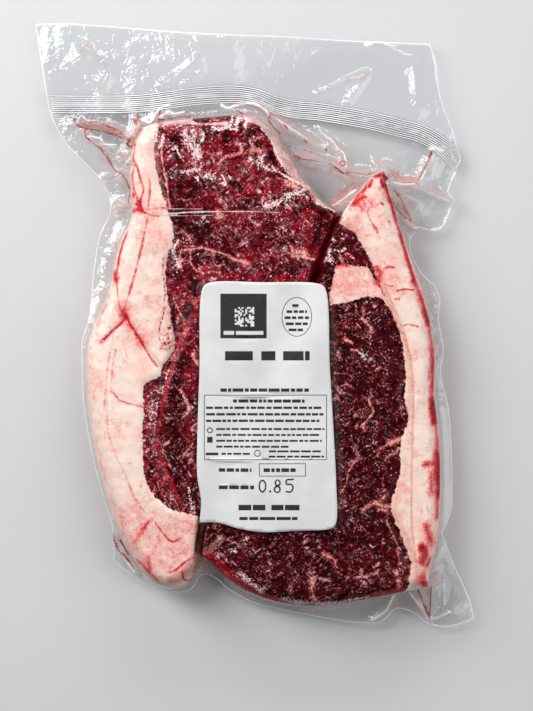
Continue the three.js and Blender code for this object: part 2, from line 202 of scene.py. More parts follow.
def ease(share):
    """Eases from 0 at 0 to 1 at 1."""
    share = np.clip(share, 0, 1)
    return share * share * (3 - 2 * share)


def lumps(at, size, pattern):
    """Soft random heights from about -1 to 1, in lumps of a size. Each pattern number gives others."""
    return np.array([noise.noise(Vector((x / size, y / size, pattern * PATTERNS_APART))) for x, y in at])


def triangulated(points, loops, join_within):
    """Triangles over loops of points: corners, faces, each face's loops and each point's new number."""
    corners, _, faces, points_of, _, loops_of = delaunay_2d_cdt(points, [], loops, 1, join_within, True)
    numbers = {old: new for new, olds in enumerate(points_of) for old in olds}
    return np.array([tuple(v) for v in corners]), faces, loops_of, numbers


def sheet(loop, places):
    """Triangles over an outline and the places inside it, and the numbers of the outline's own corners."""
    places = places[depth_in(loop, places) > RIM_CLEARANCE]
    flat = [Vector(p) for p in np.vstack([loop, places])]
    rim = list(range(len(loop)))
    corners, faces, _, numbers = triangulated(flat, [rim], 1e-5)
    faces = np.array(faces)
    faces = faces[within(loop, corners[faces].mean(axis=1))]
    return corners, faces.tolist(), [numbers[i] for i in rim]


def make_piece(name, corners, faces, values):
    """A mesh in metres from corners in millimetres, with a value at each corner for each name."""
    mesh = bpy.data.meshes.new(name)
    mesh.from_pydata((np.array(corners) * 0.001).tolist(), [], faces)
    for key, numbers in values.items():
        mesh.attributes.new(key, "FLOAT", "POINT").data.foreach_set("value", np.asarray(numbers, np.float32))
    mesh.shade_smooth()
    mesh.update()
    piece = bpy.data.objects.new(name, mesh)
    bpy.context.scene.collection.objects.link(piece)
    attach(piece, "root")
    return piece


def skin(loop, top_places, top_height, under_places, under_height, open_rim=None):
    """A closed skin of a top and an underside that share one outline. Returns its corners and faces."""
    top, faces, rim = sheet(loop, top_places)
    under, under_faces, under_rim = sheet(loop, under_places)
    faces = faces + [[len(top) + i for i in reversed(face)] for face in under_faces]
    for i, a in enumerate(rim):
        after = (i + 1) % len(rim)
        if open_rim is None or not (open_rim[i] and open_rim[after]):
            faces.append([a, len(top) + under_rim[i], len(top) + under_rim[after], rim[after]])
    corners = np.vstack([
        np.column_stack([top, top_height(top)]),
        np.column_stack([under, under_height(under)]),
    ])
    return corners, faces


outlines = [closed_line(LEFT_OUTLINE, 2.2), closed_line(RIGHT_OUTLINE, 2.2)]
fat_lines = [smooth(LEFT_FAT_LINE, 2), smooth(RIGHT_FAT_LINE, 2)]
grooves = [(smooth(path, 2), width, depth) for path, width, depth in GROOVES]
join = smooth(JOIN, 2)


def fat_depth(at, side):
    """How far into the fat cap each place is, or into the lean where negative."""
    line = fat_lines[side][::-1]
    gap = nearest(line, at)[0]
    left_of_it = at[:, 0] < np.interp(at[:, 1], line[:, 1], line[:, 0])
    return np.where(left_of_it == (side == 0), gap, -gap)


def crown(at):
    """The height of the meat's top, which swells and dips gently."""
    x, y = at.T
    broad = 0.7 * np.sin(x / 26 + 0.9) * np.cos(y / 37 + 0.3) + 0.4 * np.sin(y / 17 + x / 40)
    return STEAK_HEIGHT - SWELL + broad


def relief(at, side):
    """How the top departs from the crown: lower on the lean, grooved along the fat, and lumpy."""
    fat = fat_depth(at, side)
    low = LEAN_DROP * (ease(fat / LEAN_STEP + 0.5) - 1)
    low -= FAT_GROOVE * np.exp(-((fat / FAT_GROOVE_WIDTH) ** 2))
    for path, width, depth in grooves:
        low -= depth * np.exp(-((nearest(path, at)[0] / (width / 2)) ** 2))
    return low + 0.35 * lumps(at, 7, side) + 0.16 * lumps(at, 2.6, side + 2)


def rounded(depth, radius):
    """A rounded edge in section: 0 at the rim, and 1 from a radius inwards."""
    return np.sqrt(1 - (1 - np.clip(depth / radius, 0, 1)) ** 2)


def top_rounding(at):
    """The radius of the top edges, which is tighter where the steaks press together."""
    pressed = np.exp(-((nearest(join, at)[0] / JOIN_REACH) ** 2))
    return TOP_ROUNDING + (JOIN_ROUNDING - TOP_ROUNDING) * pressed


# What the film does over and beside the steaks. It drapes from their sides to a thin margin about a quarter
# of the way up, bridges the join, and stands in taut folds where it is pinched. The label's bed is smooth.
# A fold's points have a height. A dent is a path, its height, and how far it reaches to each side.
MARGIN_HEIGHT = 7.0
LAYERS_APART = 0.3
CRINKLE = 0.25
FILM_DRAPE = 2.4
FOLD_WIDTH = 3.2
BRIDGE_DROP = 1.6
BRIDGE_SAG = 1.2
BRIDGE_REACH = 4.0
CREASE_HEIGHT = 0.5
CREASE_SLOPE = 0.45
LABEL_DIP = 1.4
LABEL_DIP_REACH = 9.0
LABEL_BED_EDGE = 4.0
LABEL_OUTLINE = [
    (-24.6, 17), (-22.2, 19.6), (4, 20), (31.6, 19.1), (34, 16.8), (36, -20), (38, -55), (39, -75),
    (39, -94.4), (37.2, -96.8), (20, -98), (4, -98.7), (-8, -96.8), (-17, -94.3), (-26, -94.2, 1),
    (-25.2, -84), (-27, -72), (-27, -55), (-26, -23),
]
FOLDS = [
    [(-54, 95, 22), (-59, 89.5, 17), (-63, 91, 14), (-66, 94, 12.5), (-76, 97.8, 11), (-86.5, 97.3, 8.5)],
    [(-58, 76.5, 21), (-66, 80.5, 14), (-76, 87, 11.5), (-82, 92.5, 10)],
    [(-60, 70, 20), (-66, 74.5, 13), (-75, 84, 11.5), (-83, 93.5, 10)],
    [(-66, 73, 13), (-74.5, 70.5, 8)],
    [(-7, 107.6, 8.5), (0, 107, 10), (7, 102.2, 13), (14, 97, 14.5), (24, 90.8, 13), (34.5, 86, 10)],
    [(21, 80, 21), (36, 77, 17), (45, 73, 18), (54, 70.5, 23)],
    [(31, 96, 8), (37.5, 89.5, 10), (43.5, 82.5, 12), (44.5, 76, 14)],
    [(63, 74, 23), (66, 68.5, 20), (79, 68.5, 14), (83.5, 76, 12), (87, 85, 9)],
    [(79, 68.5, 13), (96.5, 60.5, 9)],
    [(69, 60, 20), (73, 54, 16), (76, 49.5, 12)],
    [(70, 54.5, 17), (77.5, 47, 13), (86, 46, 8)],
    [(80, -127, 18), (85, -142.5, 7)],
    [(85, -124, 18), (85, -142.5, 7)],
    [(75, -129.5, 15), (84, -141, 7)],
    [(85, -142.5, 7), (95, -139.5, 8)],
    [(67, -130, 15), (62.5, -139.5, 9), (57, -143, 8)],
    [(-56, -118, 18), (-61, -122, 8)],
    [(-66, -101, 15), (-66, -108, 10), (-58.5, -118.5, 9), (-55, -123, 8)],
    [(-28.5, -113, 19), (-29, -124, 8)],
    [(-60, 57, 21), (-69, 56, 9)],
    [(-47, 98, 16), (-50, 103, 10), (-58, 104, 8.5)],
    [(-50, 97, 15), (-38, 105, 9.5), (-30, 105.5, 8.5)],
]
HEADER_DENTS = [
    ([(-91, 146), (-84, 139), (-83, 134), (-88.5, 128)], 1.9, 4.5),
    ([(-83, 136), (-75, 130.5), (-71, 121), (-74, 115.5)], 2.4, 4),
    ([(-83, 134), (-80, 124), (-74, 115.5)], 1.4, 3),
    ([(-27, 129.5), (-36, 122), (-45, 115.5)], 1.9, 3),
    ([(-27, 129.5), (-25, 124), (-34, 117)], 1.2, 2.4),
    ([(-12.5, 137), (-10, 122)], 1.2, 7),
    ([(31.5, 112.5), (43, 117.5), (54, 122)], 2.2, 3.4),
    ([(54, 122), (49, 113), (45.5, 108.5)], 1.7, 3),
    ([(58, 137), (68.5, 133), (77, 125.5), (80, 105)], 1.6, 5),
    ([(92, -124), (92, -136)], 1, 2.2),
    ([(88, -116), (93, -112), (94.5, -119.5), (90, -124)], 1.1, 2),
    ([(84, 62), (91, 66), (95, 75)], 1, 2.6),
]
FILM_CREASE = [(-57, 55.3), (-50, 54.2), (-40, 53), (-1, 53.5), (12, 53.2), (30, 50.5)]
label_loop = closed_line(LABEL_OUTLINE, 2)
folds = [smooth(path, 1.1) for path in FOLDS]
dents = [(smooth(path, 1.2), height, width) for path, height, width in HEADER_DENTS]
film_crease = smooth(FILM_CREASE, 1.5)


def margin_height(at):
    """The height of the loose film's middle: waved, curled at the mouth, and drooping towards the rim."""
    x, y = at.T
    wave = 1.6 * np.sin(x / 27 + 0.6) * np.cos(y / 38 - 0.4) + 1.1 * np.sin(x / 15 - y / 33)
    curl = ease((y - 112) / 34) * (3.2 * np.cos(x / 34 + 0.5) + 0.8)
    droop = 2.6 * ease((np.hypot(x / 1.1, y * 0.78) - 96) / 30)
    return MARGIN_HEIGHT + wave + curl - droop


def crinkled(at):
    """Small uneven heights of the loose film, which both its layers share."""
    return CRINKLE * lumps(at, 9, 5)


def label_bed(at):
    """The height of the film under the label, which dips along the join."""
    return crown(at) - LABEL_DIP * np.exp(-((nearest(join, at)[0] / LABEL_DIP_REACH) ** 2))


def film_over(at):
    """The height of the film's upper layer."""
    margin = margin_height(at) + LAYERS_APART / 2 + crinkled(at)
    for path, height, width in dents:
        margin += height * np.maximum(0, 1 - nearest(path, at)[0] / width)
    depths = [depth_in(loop, at) for loop in outlines]
    edge = top_rounding(at)
    height = np.full(len(at), -1.0)
    for side, depth in enumerate(depths):
        top = crown(at) + relief(at, side)
        over = SIDE_HEIGHT + (top - SIDE_HEIGHT) * rounded(depth, edge)
        drape = margin + (SIDE_HEIGHT - margin) * np.exp(np.minimum(depth, 0) / FILM_DRAPE)
        height = np.maximum(height, np.where(depth < 0, drape, over))
    apart = sum(np.maximum(0, -depth) for depth in depths)
    bridge = crown(at) - BRIDGE_DROP - BRIDGE_SAG * apart
    height = np.where(np.maximum(*depths) < BRIDGE_REACH, np.maximum(height, bridge), height)
    for fold in folds:
        gap, ridge = nearest(fold, at)
        height = np.maximum(height, margin + (ridge - margin) * np.exp(-gap / FOLD_WIDTH))
    height += np.maximum(0, CREASE_HEIGHT - nearest(film_crease, at)[0] * CREASE_SLOPE)
    bed = ease(depth_in(label_loop, at) / LABEL_BED_EDGE + 1)
    return height + (label_bed(at) - height) * bed


def film_under(at):
    """The height of the film's lower layer."""
    margin = margin_height(at) - LAYERS_APART / 2 + crinkled(at)
    depth = np.maximum(*(depth_in(loop, at) for loop in outlines))
    lip = SIDE_HEIGHT - SIDE_LIP
    drape = margin + (lip - margin) * np.exp(np.minimum(depth, 0) / FILM_DRAPE)
    return np.where(depth < 0, drape, lip * (1 - rounded(depth, FOOT_ROUNDING)))


# The meat's look: dark red lean under fine pale frost, cream and pink fat, pale marbling, and red juice
# that has run into the creases, with painted shade by the join and in cracks, and painted sheen and glints
# of the film. A mark is a path, half its width, and how strongly it shows.
# Down the steaks' sides, where the real marks can't be seen, these fade and stray.
MARK_FADE = 0.7
MARK_FADE_RUN = 10.0
MARK_STRAY = 7.0
LEFT_VEINS = [
    ([(-17, 76.5), (-14, 79.5), (-10, 80.8), (-6, 82.5), (-6.5, 85.5), (-8, 86)], 1.0, 1),
    ([(-1, 83), (1, 83.2), (3, 82.8)], 1.4, 1),
    ([(0, 88.5), (2.5, 89)], 0.6, 0.8),
    ([(16, 66.5), (18.5, 65.8), (20, 65.6)], 1.3, 1),
    ([(10.5, 70), (16, 68.3), (20, 66.8)], 0.5, 0.9),
    ([(-17.5, 54), (-17, 52), (-16, 51.3)], 1.3, 1),
    ([(-36, 59.5), (-33.5, 60), (-33.5, 58.5)], 0.6, 0.8),
    ([(-1, 57.5), (0, 59)], 0.5, 0.8),
    ([(16.5, 38.5), (18, 36), (18.3, 32.5)], 1.0, 1),
    ([(20.5, 34), (23, 34.5), (24, 33)], 1.6, 1),
    ([(18.5, 32.5), (23, 32), (28, 31)], 0.8, 1),
    ([(-36, 34.8), (-33, 35.5), (-29, 36), (-25, 36.4), (-21, 35.5), (-17, 34.3), (-13, 33),
      (-9.5, 31)], 0.55, 1),
    ([(-12, 32.5), (-9.5, 31), (-5, 29.8), (-3, 29.3)], 1.0, 1),
    ([(-5.5, 30), (-4.5, 27.8)], 0.9, 0.9),
    ([(-35, 35), (-35.5, 31), (-36.5, 26.5)], 0.5, 0.9),
    ([(-30, 35), (-30.5, 31), (-29.5, 28), (-27, 25.5), (-24.5, 24.5)], 0.5, 0.8),
    ([(-14.5, 30), (-16, 27.8), (-18.5, 28)], 0.5, 0.8),
    ([(-22, 24.5), (-19.5, 25.5), (-17, 24.5)], 0.5, 0.7),
    ([(9.5, 30), (12, 31.5), (13.5, 33.5)], 0.6, 0.7),
    ([(-38.5, 13), (-36.5, 8), (-34, 3), (-33, 0)], 0.5, 0.9),
    ([(-41, 9.5), (-38, 9.5), (-36.5, 8)], 0.5, 0.8),
    ([(-29, -14.5), (-28, -17), (-26.5, -18.5)], 1.1, 1),
    ([(-35, -31), (-33, -35), (-31.5, -38), (-31, -40.5)], 0.9, 1),
    ([(-29.5, -57), (-32, -60), (-34, -63)], 0.5, 0.9),
    ([(-38.5, -89), (-41.5, -84.5), (-44.5, -79.5), (-46, -75)], 0.35, 0.85),
    ([(-35.5, -89.5), (-37, -85), (-40, -80.5)], 0.3, 0.8),
    ([(-29.5, -90), (-30.5, -85), (-30.8, -79)], 0.35, 0.8),
    ([(-45.5, -83.5), (-47.3, -79.5), (-47.5, -76)], 0.35, 0.7),
    ([(-43, 91), (-43.8, 86), (-44, 80), (-43, 74), (-41.7, 68), (-41, 62), (-40, 55)], 0.5, 1),
    ([(7, 89), (8.8, 86.5), (9.6, 84)], 1.0, 0.8),
    ([(26.3, 65), (27.3, 61.5), (28.7, 58.8)], 0.7, 0.9),
    ([(-19, 95.2), (-16, 94.6), (-14, 94.2)], 0.6, 0.8),
]
# Pale frost streaks; the thin lines beside the left seam near y -13 to -51 are painted highlights of the
# film.
LEFT_STREAKS_AND_GLINTS = [
    ([(-32.5, 91), (-31, 87), (-29.5, 84)], 1.8, 0.75),
    ([(-30, 92), (-28.3, 89), (-28.5, 86)], 0.5, 1),
    ([(-24.3, 92), (-24.2, 89.5), (-25.5, 86.5), (-27, 84.5), (-29, 82), (-28.3, 79.5)], 0.6, 1),
    ([(-27.3, 83.5), (-26.8, 80)], 1.4, 0.95),
    ([(-37, 84), (-35, 79.5)], 0.4, 1),
    ([(-43.5, 90), (-43.8, 87), (-45, 84.5)], 0.7, 1),
    ([(-34.5, 72.3), (-32, 72.8), (-30, 73.5), (-27, 73.5)], 0.8, 0.9),
    ([(-27.3, 70.2), (-27, 68.5)], 0.9, 1),
    ([(-23.5, 70.3), (-21.5, 71.3), (-20.5, 69), (-19.2, 70)], 0.8, 1),
    ([(-15.5, 71.5), (-14, 69), (-13.5, 66.5)], 0.4, 0.9),
    ([(-12.5, 71.8), (-11, 69)], 0.4, 0.9),
    ([(-36.5, 40), (-38.5, 35), (-37, 31), (-35.5, 27.5)], 0.9, 0.85),
    ([(6, 57), (9, 57.5), (13, 59), (16, 61.5), (20, 62.5), (24, 64)], 1.7, 0.75),
    ([(-2, 79.5), (0, 78), (3, 76.5), (5, 75), (9.5, 73)], 0.8, 0.7),
    ([(2, 80.5), (4, 78), (3.5, 75)], 0.5, 0.9),
    ([(-20, 92.5), (-16, 93.5), (-12, 94)], 0.7, 0.9),
    ([(-48.6, -36), (-48.3, -50), (-48, -62)], 1.2, 0.4),
    ([(-31, -78), (-30, -84), (-28.5, -90)], 0.8, 0.6),
    ([(-10.3, 100), (-10.8, 97), (-12, 94)], 0.6, 1),
    ([(-7.3, 99.7), (-7.5, 97.5), (-8.8, 95.5)], 1.2, 1),
    ([(-5, 99.7), (-3.8, 97), (-4.5, 94.5)], 0.6, 0.95),
    ([(-11.3, 92.8), (-9.5, 93.3), (-8, 92.9)], 0.4, 1),
    ([(-20, 94.1), (-18.3, 93.7)], 0.4, 1),
    ([(-17, 92.4), (-14, 93.2), (-11.5, 94.6)], 0.4, 0.95),
    ([(-46, 96.5), (-46.4, 92), (-47, 87)], 0.5, 1),
    ([(-38.2, -13), (-40.4, -20.5), (-42.3, -26), (-43.9, -31.5)], 0.25, 0.5),
    ([(-46.2, -37), (-46.9, -45), (-47.4, -51)], 0.25, 0.55),
    ([(-50.5, -34.5), (-49.5, -33), (-47, -31.5), (-45, -32.5)], 0.35, 0.8),
    ([(8.5, 75.5), (10.3, 73.5), (13, 72), (15.5, 70.6)], 0.35, 1),
    ([(4.3, 80.5), (3.4, 77.5), (4.6, 75.3), (7, 74)], 0.6, 1),
    ([(1.5, 76.5), (2, 73.8)], 0.4, 0.9),
    ([(15.5, 70.5), (18.3, 68.9), (22, 67.4), (26, 65.3)], 0.6, 1),
    ([(29, 58.4), (34, 56), (39, 54)], 0.45, 1),
    ([(3.5, 93.5), (6, 90.8), (8.6, 87), (10.4, 81.5), (13.2, 76.5), (16.5, 72)], 0.5, 0.9),
]
# Frost haze; the strips near x -38 to -49 below y -11 are painted sheen of the wet film.
LEFT_HAZE_AND_SHEEN = [
    ([(-40, 84), (-34, 78), (-27, 79), (-20, 74)], 6, 0.9),
    ([(-44, 93.5), (-30, 94), (-14, 95)], 2.5, 1),
    ([(-15, 69), (-14, 62), (-13, 60)], 4, 0.7),
    ([(-2, 77), (6, 75), (10, 72)], 5, 0.6),
    ([(8, 58), (18, 60), (26, 63)], 3.5, 1),
    ([(-20, 46), (-8, 46), (6, 46), (18, 44)], 5.5, 0.7),
    ([(-34, 40), (-38, 33)], 4, 0.9),
    ([(4, 34), (14, 34)], 4, 0.6),
    ([(-36, 15), (-38, 5), (-40, 20)], 4, 0.6),
    ([(-48, -36), (-48.5, -50), (-48, -62), (-49, -70)], 2, 1),
    ([(-36, -48), (-34, -55)], 3, 0.4),
    ([(-38.2, -13), (-40.4, -20.5), (-42.3, -26), (-43.9, -31.5)], 1.1, 0.8),
    ([(-44, -80), (-40, -84), (-36, -86)], 3, 0.7),
    ([(-27, -80), (-27, -86)], 1.6, 0.9),
]
# Darker patches of the lean, and painted shade beside the join between the steaks near its upper end.
LEFT_DARK_AND_SHADE = [
    ([(-32, 48), (-10, 40), (12, 42)], 9, 0.45),
    ([(-37, 47), (-32, 47), (-29, 46)], 2.6, 1),
    ([(-37, 43), (-34, 41)], 1.8, 0.8),
    ([(-30, 43), (-22, 44)], 2.4, 0.7),
    ([(-35, 66), (-22, 66)], 4, 0.5),
    ([(-28, 33), (-20, 32), (-12, 31)], 2.4, 0.6),
    ([(-38, -30), (-39.5, -45), (-38.5, -60), (-35, -75), (-32, -85)], 4.5, 1.3),
    ([(30, 40), (31, 50), (33, 55)], 2.4, 0.8),
]
LEFT_BLOOD = [
    ([(-58, 54.5), (-55, 54.5), (-52, 53.8)], 1.2, 1),
    ([(-54.5, 59), (-54, 56.5), (-53, 54.5)], 0.7, 1),
    ([(-56.5, 57.5), (-53, 54.5)], 0.5, 0.9),
    ([(-52, 53.5), (-49, 52), (-45, 51.5)], 0.5, 0.7),
    ([(-50, 55), (-42, 55.3), (-33, 55)], 0.4, 0.8),
    ([(-49.8, 69), (-49.4, 63.4), (-50.1, 58.5), (-50.3, 56)], 0.4, 0.7),
    ([(-56, 61), (-55.5, 57)], 0.6, 0.8),
    ([(-57, 78), (-55.8, 75.4), (-54, 69), (-52.6, 64), (-53.3, 61.3), (-54, 58.5)], 0.45, 0.75),
    ([(-56.8, 77.5), (-58.3, 70.4), (-57.5, 65), (-56.5, 62)], 0.4, 0.85),
    ([(-56.8, 87), (-57.8, 82), (-58, 78)], 0.5, 0.75),
    ([(-59, 64), (-57.5, 61.5)], 0.8, 0.8),
    ([(-61, 44), (-64, 35), (-65.5, 26), (-66, 23)], 0.6, 0.9),
    ([(-66.5, 24), (-66, 21.5)], 1.4, 1),
    ([(-50.8, 50), (-52, 44), (-53.5, 37), (-55, 31), (-56.5, 25), (-58.5, 18), (-60.5, 12),
      (-62, 7)], 0.5, 0.62),
    ([(-65.5, 22), (-65, 15), (-64, 9), (-62.5, 5.5)], 0.5, 0.6),
    ([(-62.5, 6.5), (-61, 3)], 1.4, 0.9),
    ([(-61, 3), (-64, 0), (-67.5, -3), (-71.5, -7)], 0.6, 0.95),
    ([(-61, 2), (-66, -2.5), (-72, -8)], 1.6, 0.4),
    ([(-61, 5), (-59, 0), (-56.5, -4), (-53.5, -8.5)], 0.8, 1),
    ([(-62, 6), (-59, -1), (-53, -10)], 2.2, 0.45),
    ([(-53.5, -8.5), (-51, -13), (-48.5, -17), (-46, -20)], 0.45, 0.85),
    ([(-69, 18), (-72, 8), (-75.5, 0)], 0.7, 0.6),
    ([(-67, -5), (-69.5, -18), (-70.5, -30), (-71.5, -42)], 0.5, 0.38),
    ([(-66, -12), (-67.5, -22), (-68, -32)], 0.45, 0.4),
    ([(-67, -32.5), (-64, -36), (-60, -37.5), (-56, -38.5), (-52.5, -39.5)], 0.4, 0.62),
    ([(-70, -35), (-69.5, -50), (-66, -62), (-61, -72), (-57, -82), (-52, -89)], 0.5, 0.36),
    ([(-47, -94), (-43.5, -99), (-40.4, -102.7)], 0.3, 0.9),
    ([(-40.4, -102.7), (-38, -103.3), (-35, -102)], 0.35, 0.9),
    ([(-49, -92.8), (-51.2, -95), (-53.5, -98.5), (-57.2, -103.6)], 1.2, 0.62),
    ([(-50.3, -94), (-52.5, -97)], 0.8, 0.9),
    ([(-50.3, -111), (-49.6, -117.7)], 1.1, 0.6),
    ([(-40, -118), (-37, -116.5), (-31.7, -112.3), (-26, -110)], 0.5, 0.95),
    ([(-56, -112), (-50, -118), (-46, -122)], 0.7, 0.6),
]
LEFT_STAINS = [
    ([(-60, 88), (-60, 70), (-59, 55), (-65, 38), (-70, 18), (-78, 0)], 2.6, 0.7),
    ([(-62, 8), (-60, 3), (-54, -8)], 4, 0.9),
    ([(-80, -17), (-78, -45), (-70, -78), (-60, -105)], 2.2, 0.5),
    ([(-57, -98), (-50, -104), (-46, -112), (-40, -110), (-33, -100)], 11, 1.05),
    ([(-55, 57), (-51, 52)], 5, 1),
    ([(-45, 45), (-43, 33), (-44, 28)], 3, 0.6),
    ([(-49, 9), (-45, 10), (-44, -3)], 3.5, 0.65),
    ([(-41, 6), (-41.5, -3), (-41, -11)], 2.6, 0.9),
    ([(-74, -28), (-78, -32)], 4, 0.6),
]
RIGHT_VEINS = [
    ([(51.5, 7.5), (52.5, 5), (51.3, 3.5), (53, 1.3), (54.5, -0.3), (56, -2.5)], 0.75, 1),
    ([(43.5, -7), (46.5, -9)], 0.9, 1),
    ([(36, -8), (38.5, -9)], 0.6, 0.8),
    ([(46, -12), (49.5, -12.5), (51, -14)], 0.7, 0.9),
    ([(38, -23.3), (40, -23.3), (44, -23.5)], 0.45, 0.8),
    ([(54.5, -23), (58.5, -21.5), (61.5, -21), (63, -22)], 0.5, 0.8),
    ([(41, -29.5), (44.5, -28.5), (48, -31)], 0.4, 0.8),
    ([(54.5, -35.5), (55.5, -38.5), (57, -40.5), (55.5, -43.5), (52.5, -47), (50.8, -48.5)], 0.65, 0.95),
    ([(51.5, -48.5), (52.5, -50.5)], 1.3, 0.8),
    ([(69.5, -54.5), (67, -55.5), (64.5, -56.5)], 1.3, 1),
    ([(64.5, -56.5), (61, -58.5), (57, -60.5)], 0.55, 0.9),
    ([(69, -59), (67, -61.5), (64.5, -62.5), (62, -64.5)], 0.7, 0.9),
    ([(60, -60.5), (58, -63), (56.5, -64)], 0.4, 0.7),
    ([(48.5, -64.5), (46.5, -67.5), (45, -70), (43.5, -76.5), (41, -80)], 0.5, 0.8),
    ([(50, -77), (55, -77.3)], 0.4, 0.7),
    ([(61, -73), (61.5, -77)], 0.7, 0.8),
    ([(52, -88), (55, -86), (58, -85), (61, -86.5), (64, -86.8)], 1.1, 0.95),
    ([(60, -84), (62, -82)], 0.6, 0.9),
    ([(59.5, -88), (63.5, -88.5)], 0.7, 0.9),
    ([(63, -93.5), (65, -98), (67, -102), (68.5, -106)], 0.5, 0.8),
    ([(68, -106), (69.5, -114)], 0.5, 0.7),
    ([(67.5, -117), (68.5, -121), (69, -125)], 1.2, 0.9),
    ([(32.5, -109), (36, -110.5), (38.5, -112.5), (38.8, -114.5)], 1.3, 0.85),
    ([(26, -122), (28.5, -121), (32, -121), (35, -121.5)], 0.9, 0.8),
    ([(28.5, -121.5), (27.5, -125), (27.8, -129), (29, -131)], 1.3, 0.9),
    ([(47.5, -120.5), (51, -120), (56, -119), (58, -118)], 0.8, 0.8),
]
# Pale frost streaks; the pale line at the lower left end, near y -119 to -127, is a painted highlight of the
# wet film.
RIGHT_STREAKS_AND_GLINTS = [
    ([(34, 34), (35.5, 36.5), (36, 33)], 0.7, 0.9),
    ([(34, 31.5), (36, 30.5)], 1, 0.7),
    ([(37, 41), (38, 40)], 0.7, 0.9),
    ([(44.3, 33.8), (46, 32.8), (47.6, 30.8)], 0.25, 1),
    ([(43.5, 47.6), (46.5, 45.9), (50, 43.6)], 0.5, 0.9),
    ([(45, 49), (46.3, 48.6)], 0.7, 1),
    ([(38.5, 35.5), (41, 34.8), (43.5, 36)], 0.5, 0.9),
    ([(50.5, -13), (52.5, -16)], 1.5, 0.7),
    ([(-10, -107.5), (-8.5, -108.5)], 0.7, 0.6),
    ([(-5, -102.5), (-2.5, -101.5)], 0.5, 0.6),
    ([(55.3, -104.8), (56, -105.8), (57.3, -105.6)], 0.4, 0.8),
    ([(14, -131.8), (25, -133.8), (35, -134.3), (45, -133), (54, -131.2)], 1.4, 0.85),
    ([(-7, -119), (-2.5, -122.6), (1, -125.2), (3.5, -127.4)], 1.3, 0.8),
]
# Frost haze; the band at the lower left end, near y -110 to -128, is painted sheen of the wet film.
RIGHT_HAZE_AND_SHEEN = [
    ([(42.5, 49), (47, 46.8), (50.5, 44)], 2.4, 1.3),
    ([(-14, -103), (-6, -106)], 5, 0.8),
    ([(-16, -110.5), (-9, -116), (-3, -121), (3, -124.5)], 2.6, 1.3),
    ([(-10, -117), (-4, -121), (1, -125), (4, -127.5)], 1.9, 1.6),
    ([(-2, -121), (8, -126)], 4, 0.8),
    ([(10, -116), (22, -119)], 6, 0.6),
    ([(36, -112), (30, -126)], 5, 0.6),
    ([(50, -121), (60, -117), (68, -119)], 4, 0.9),
    ([(42, 5), (46, 8)], 3, 0.6),
    ([(34, 29), (36, 24)], 3, 0.9),
]
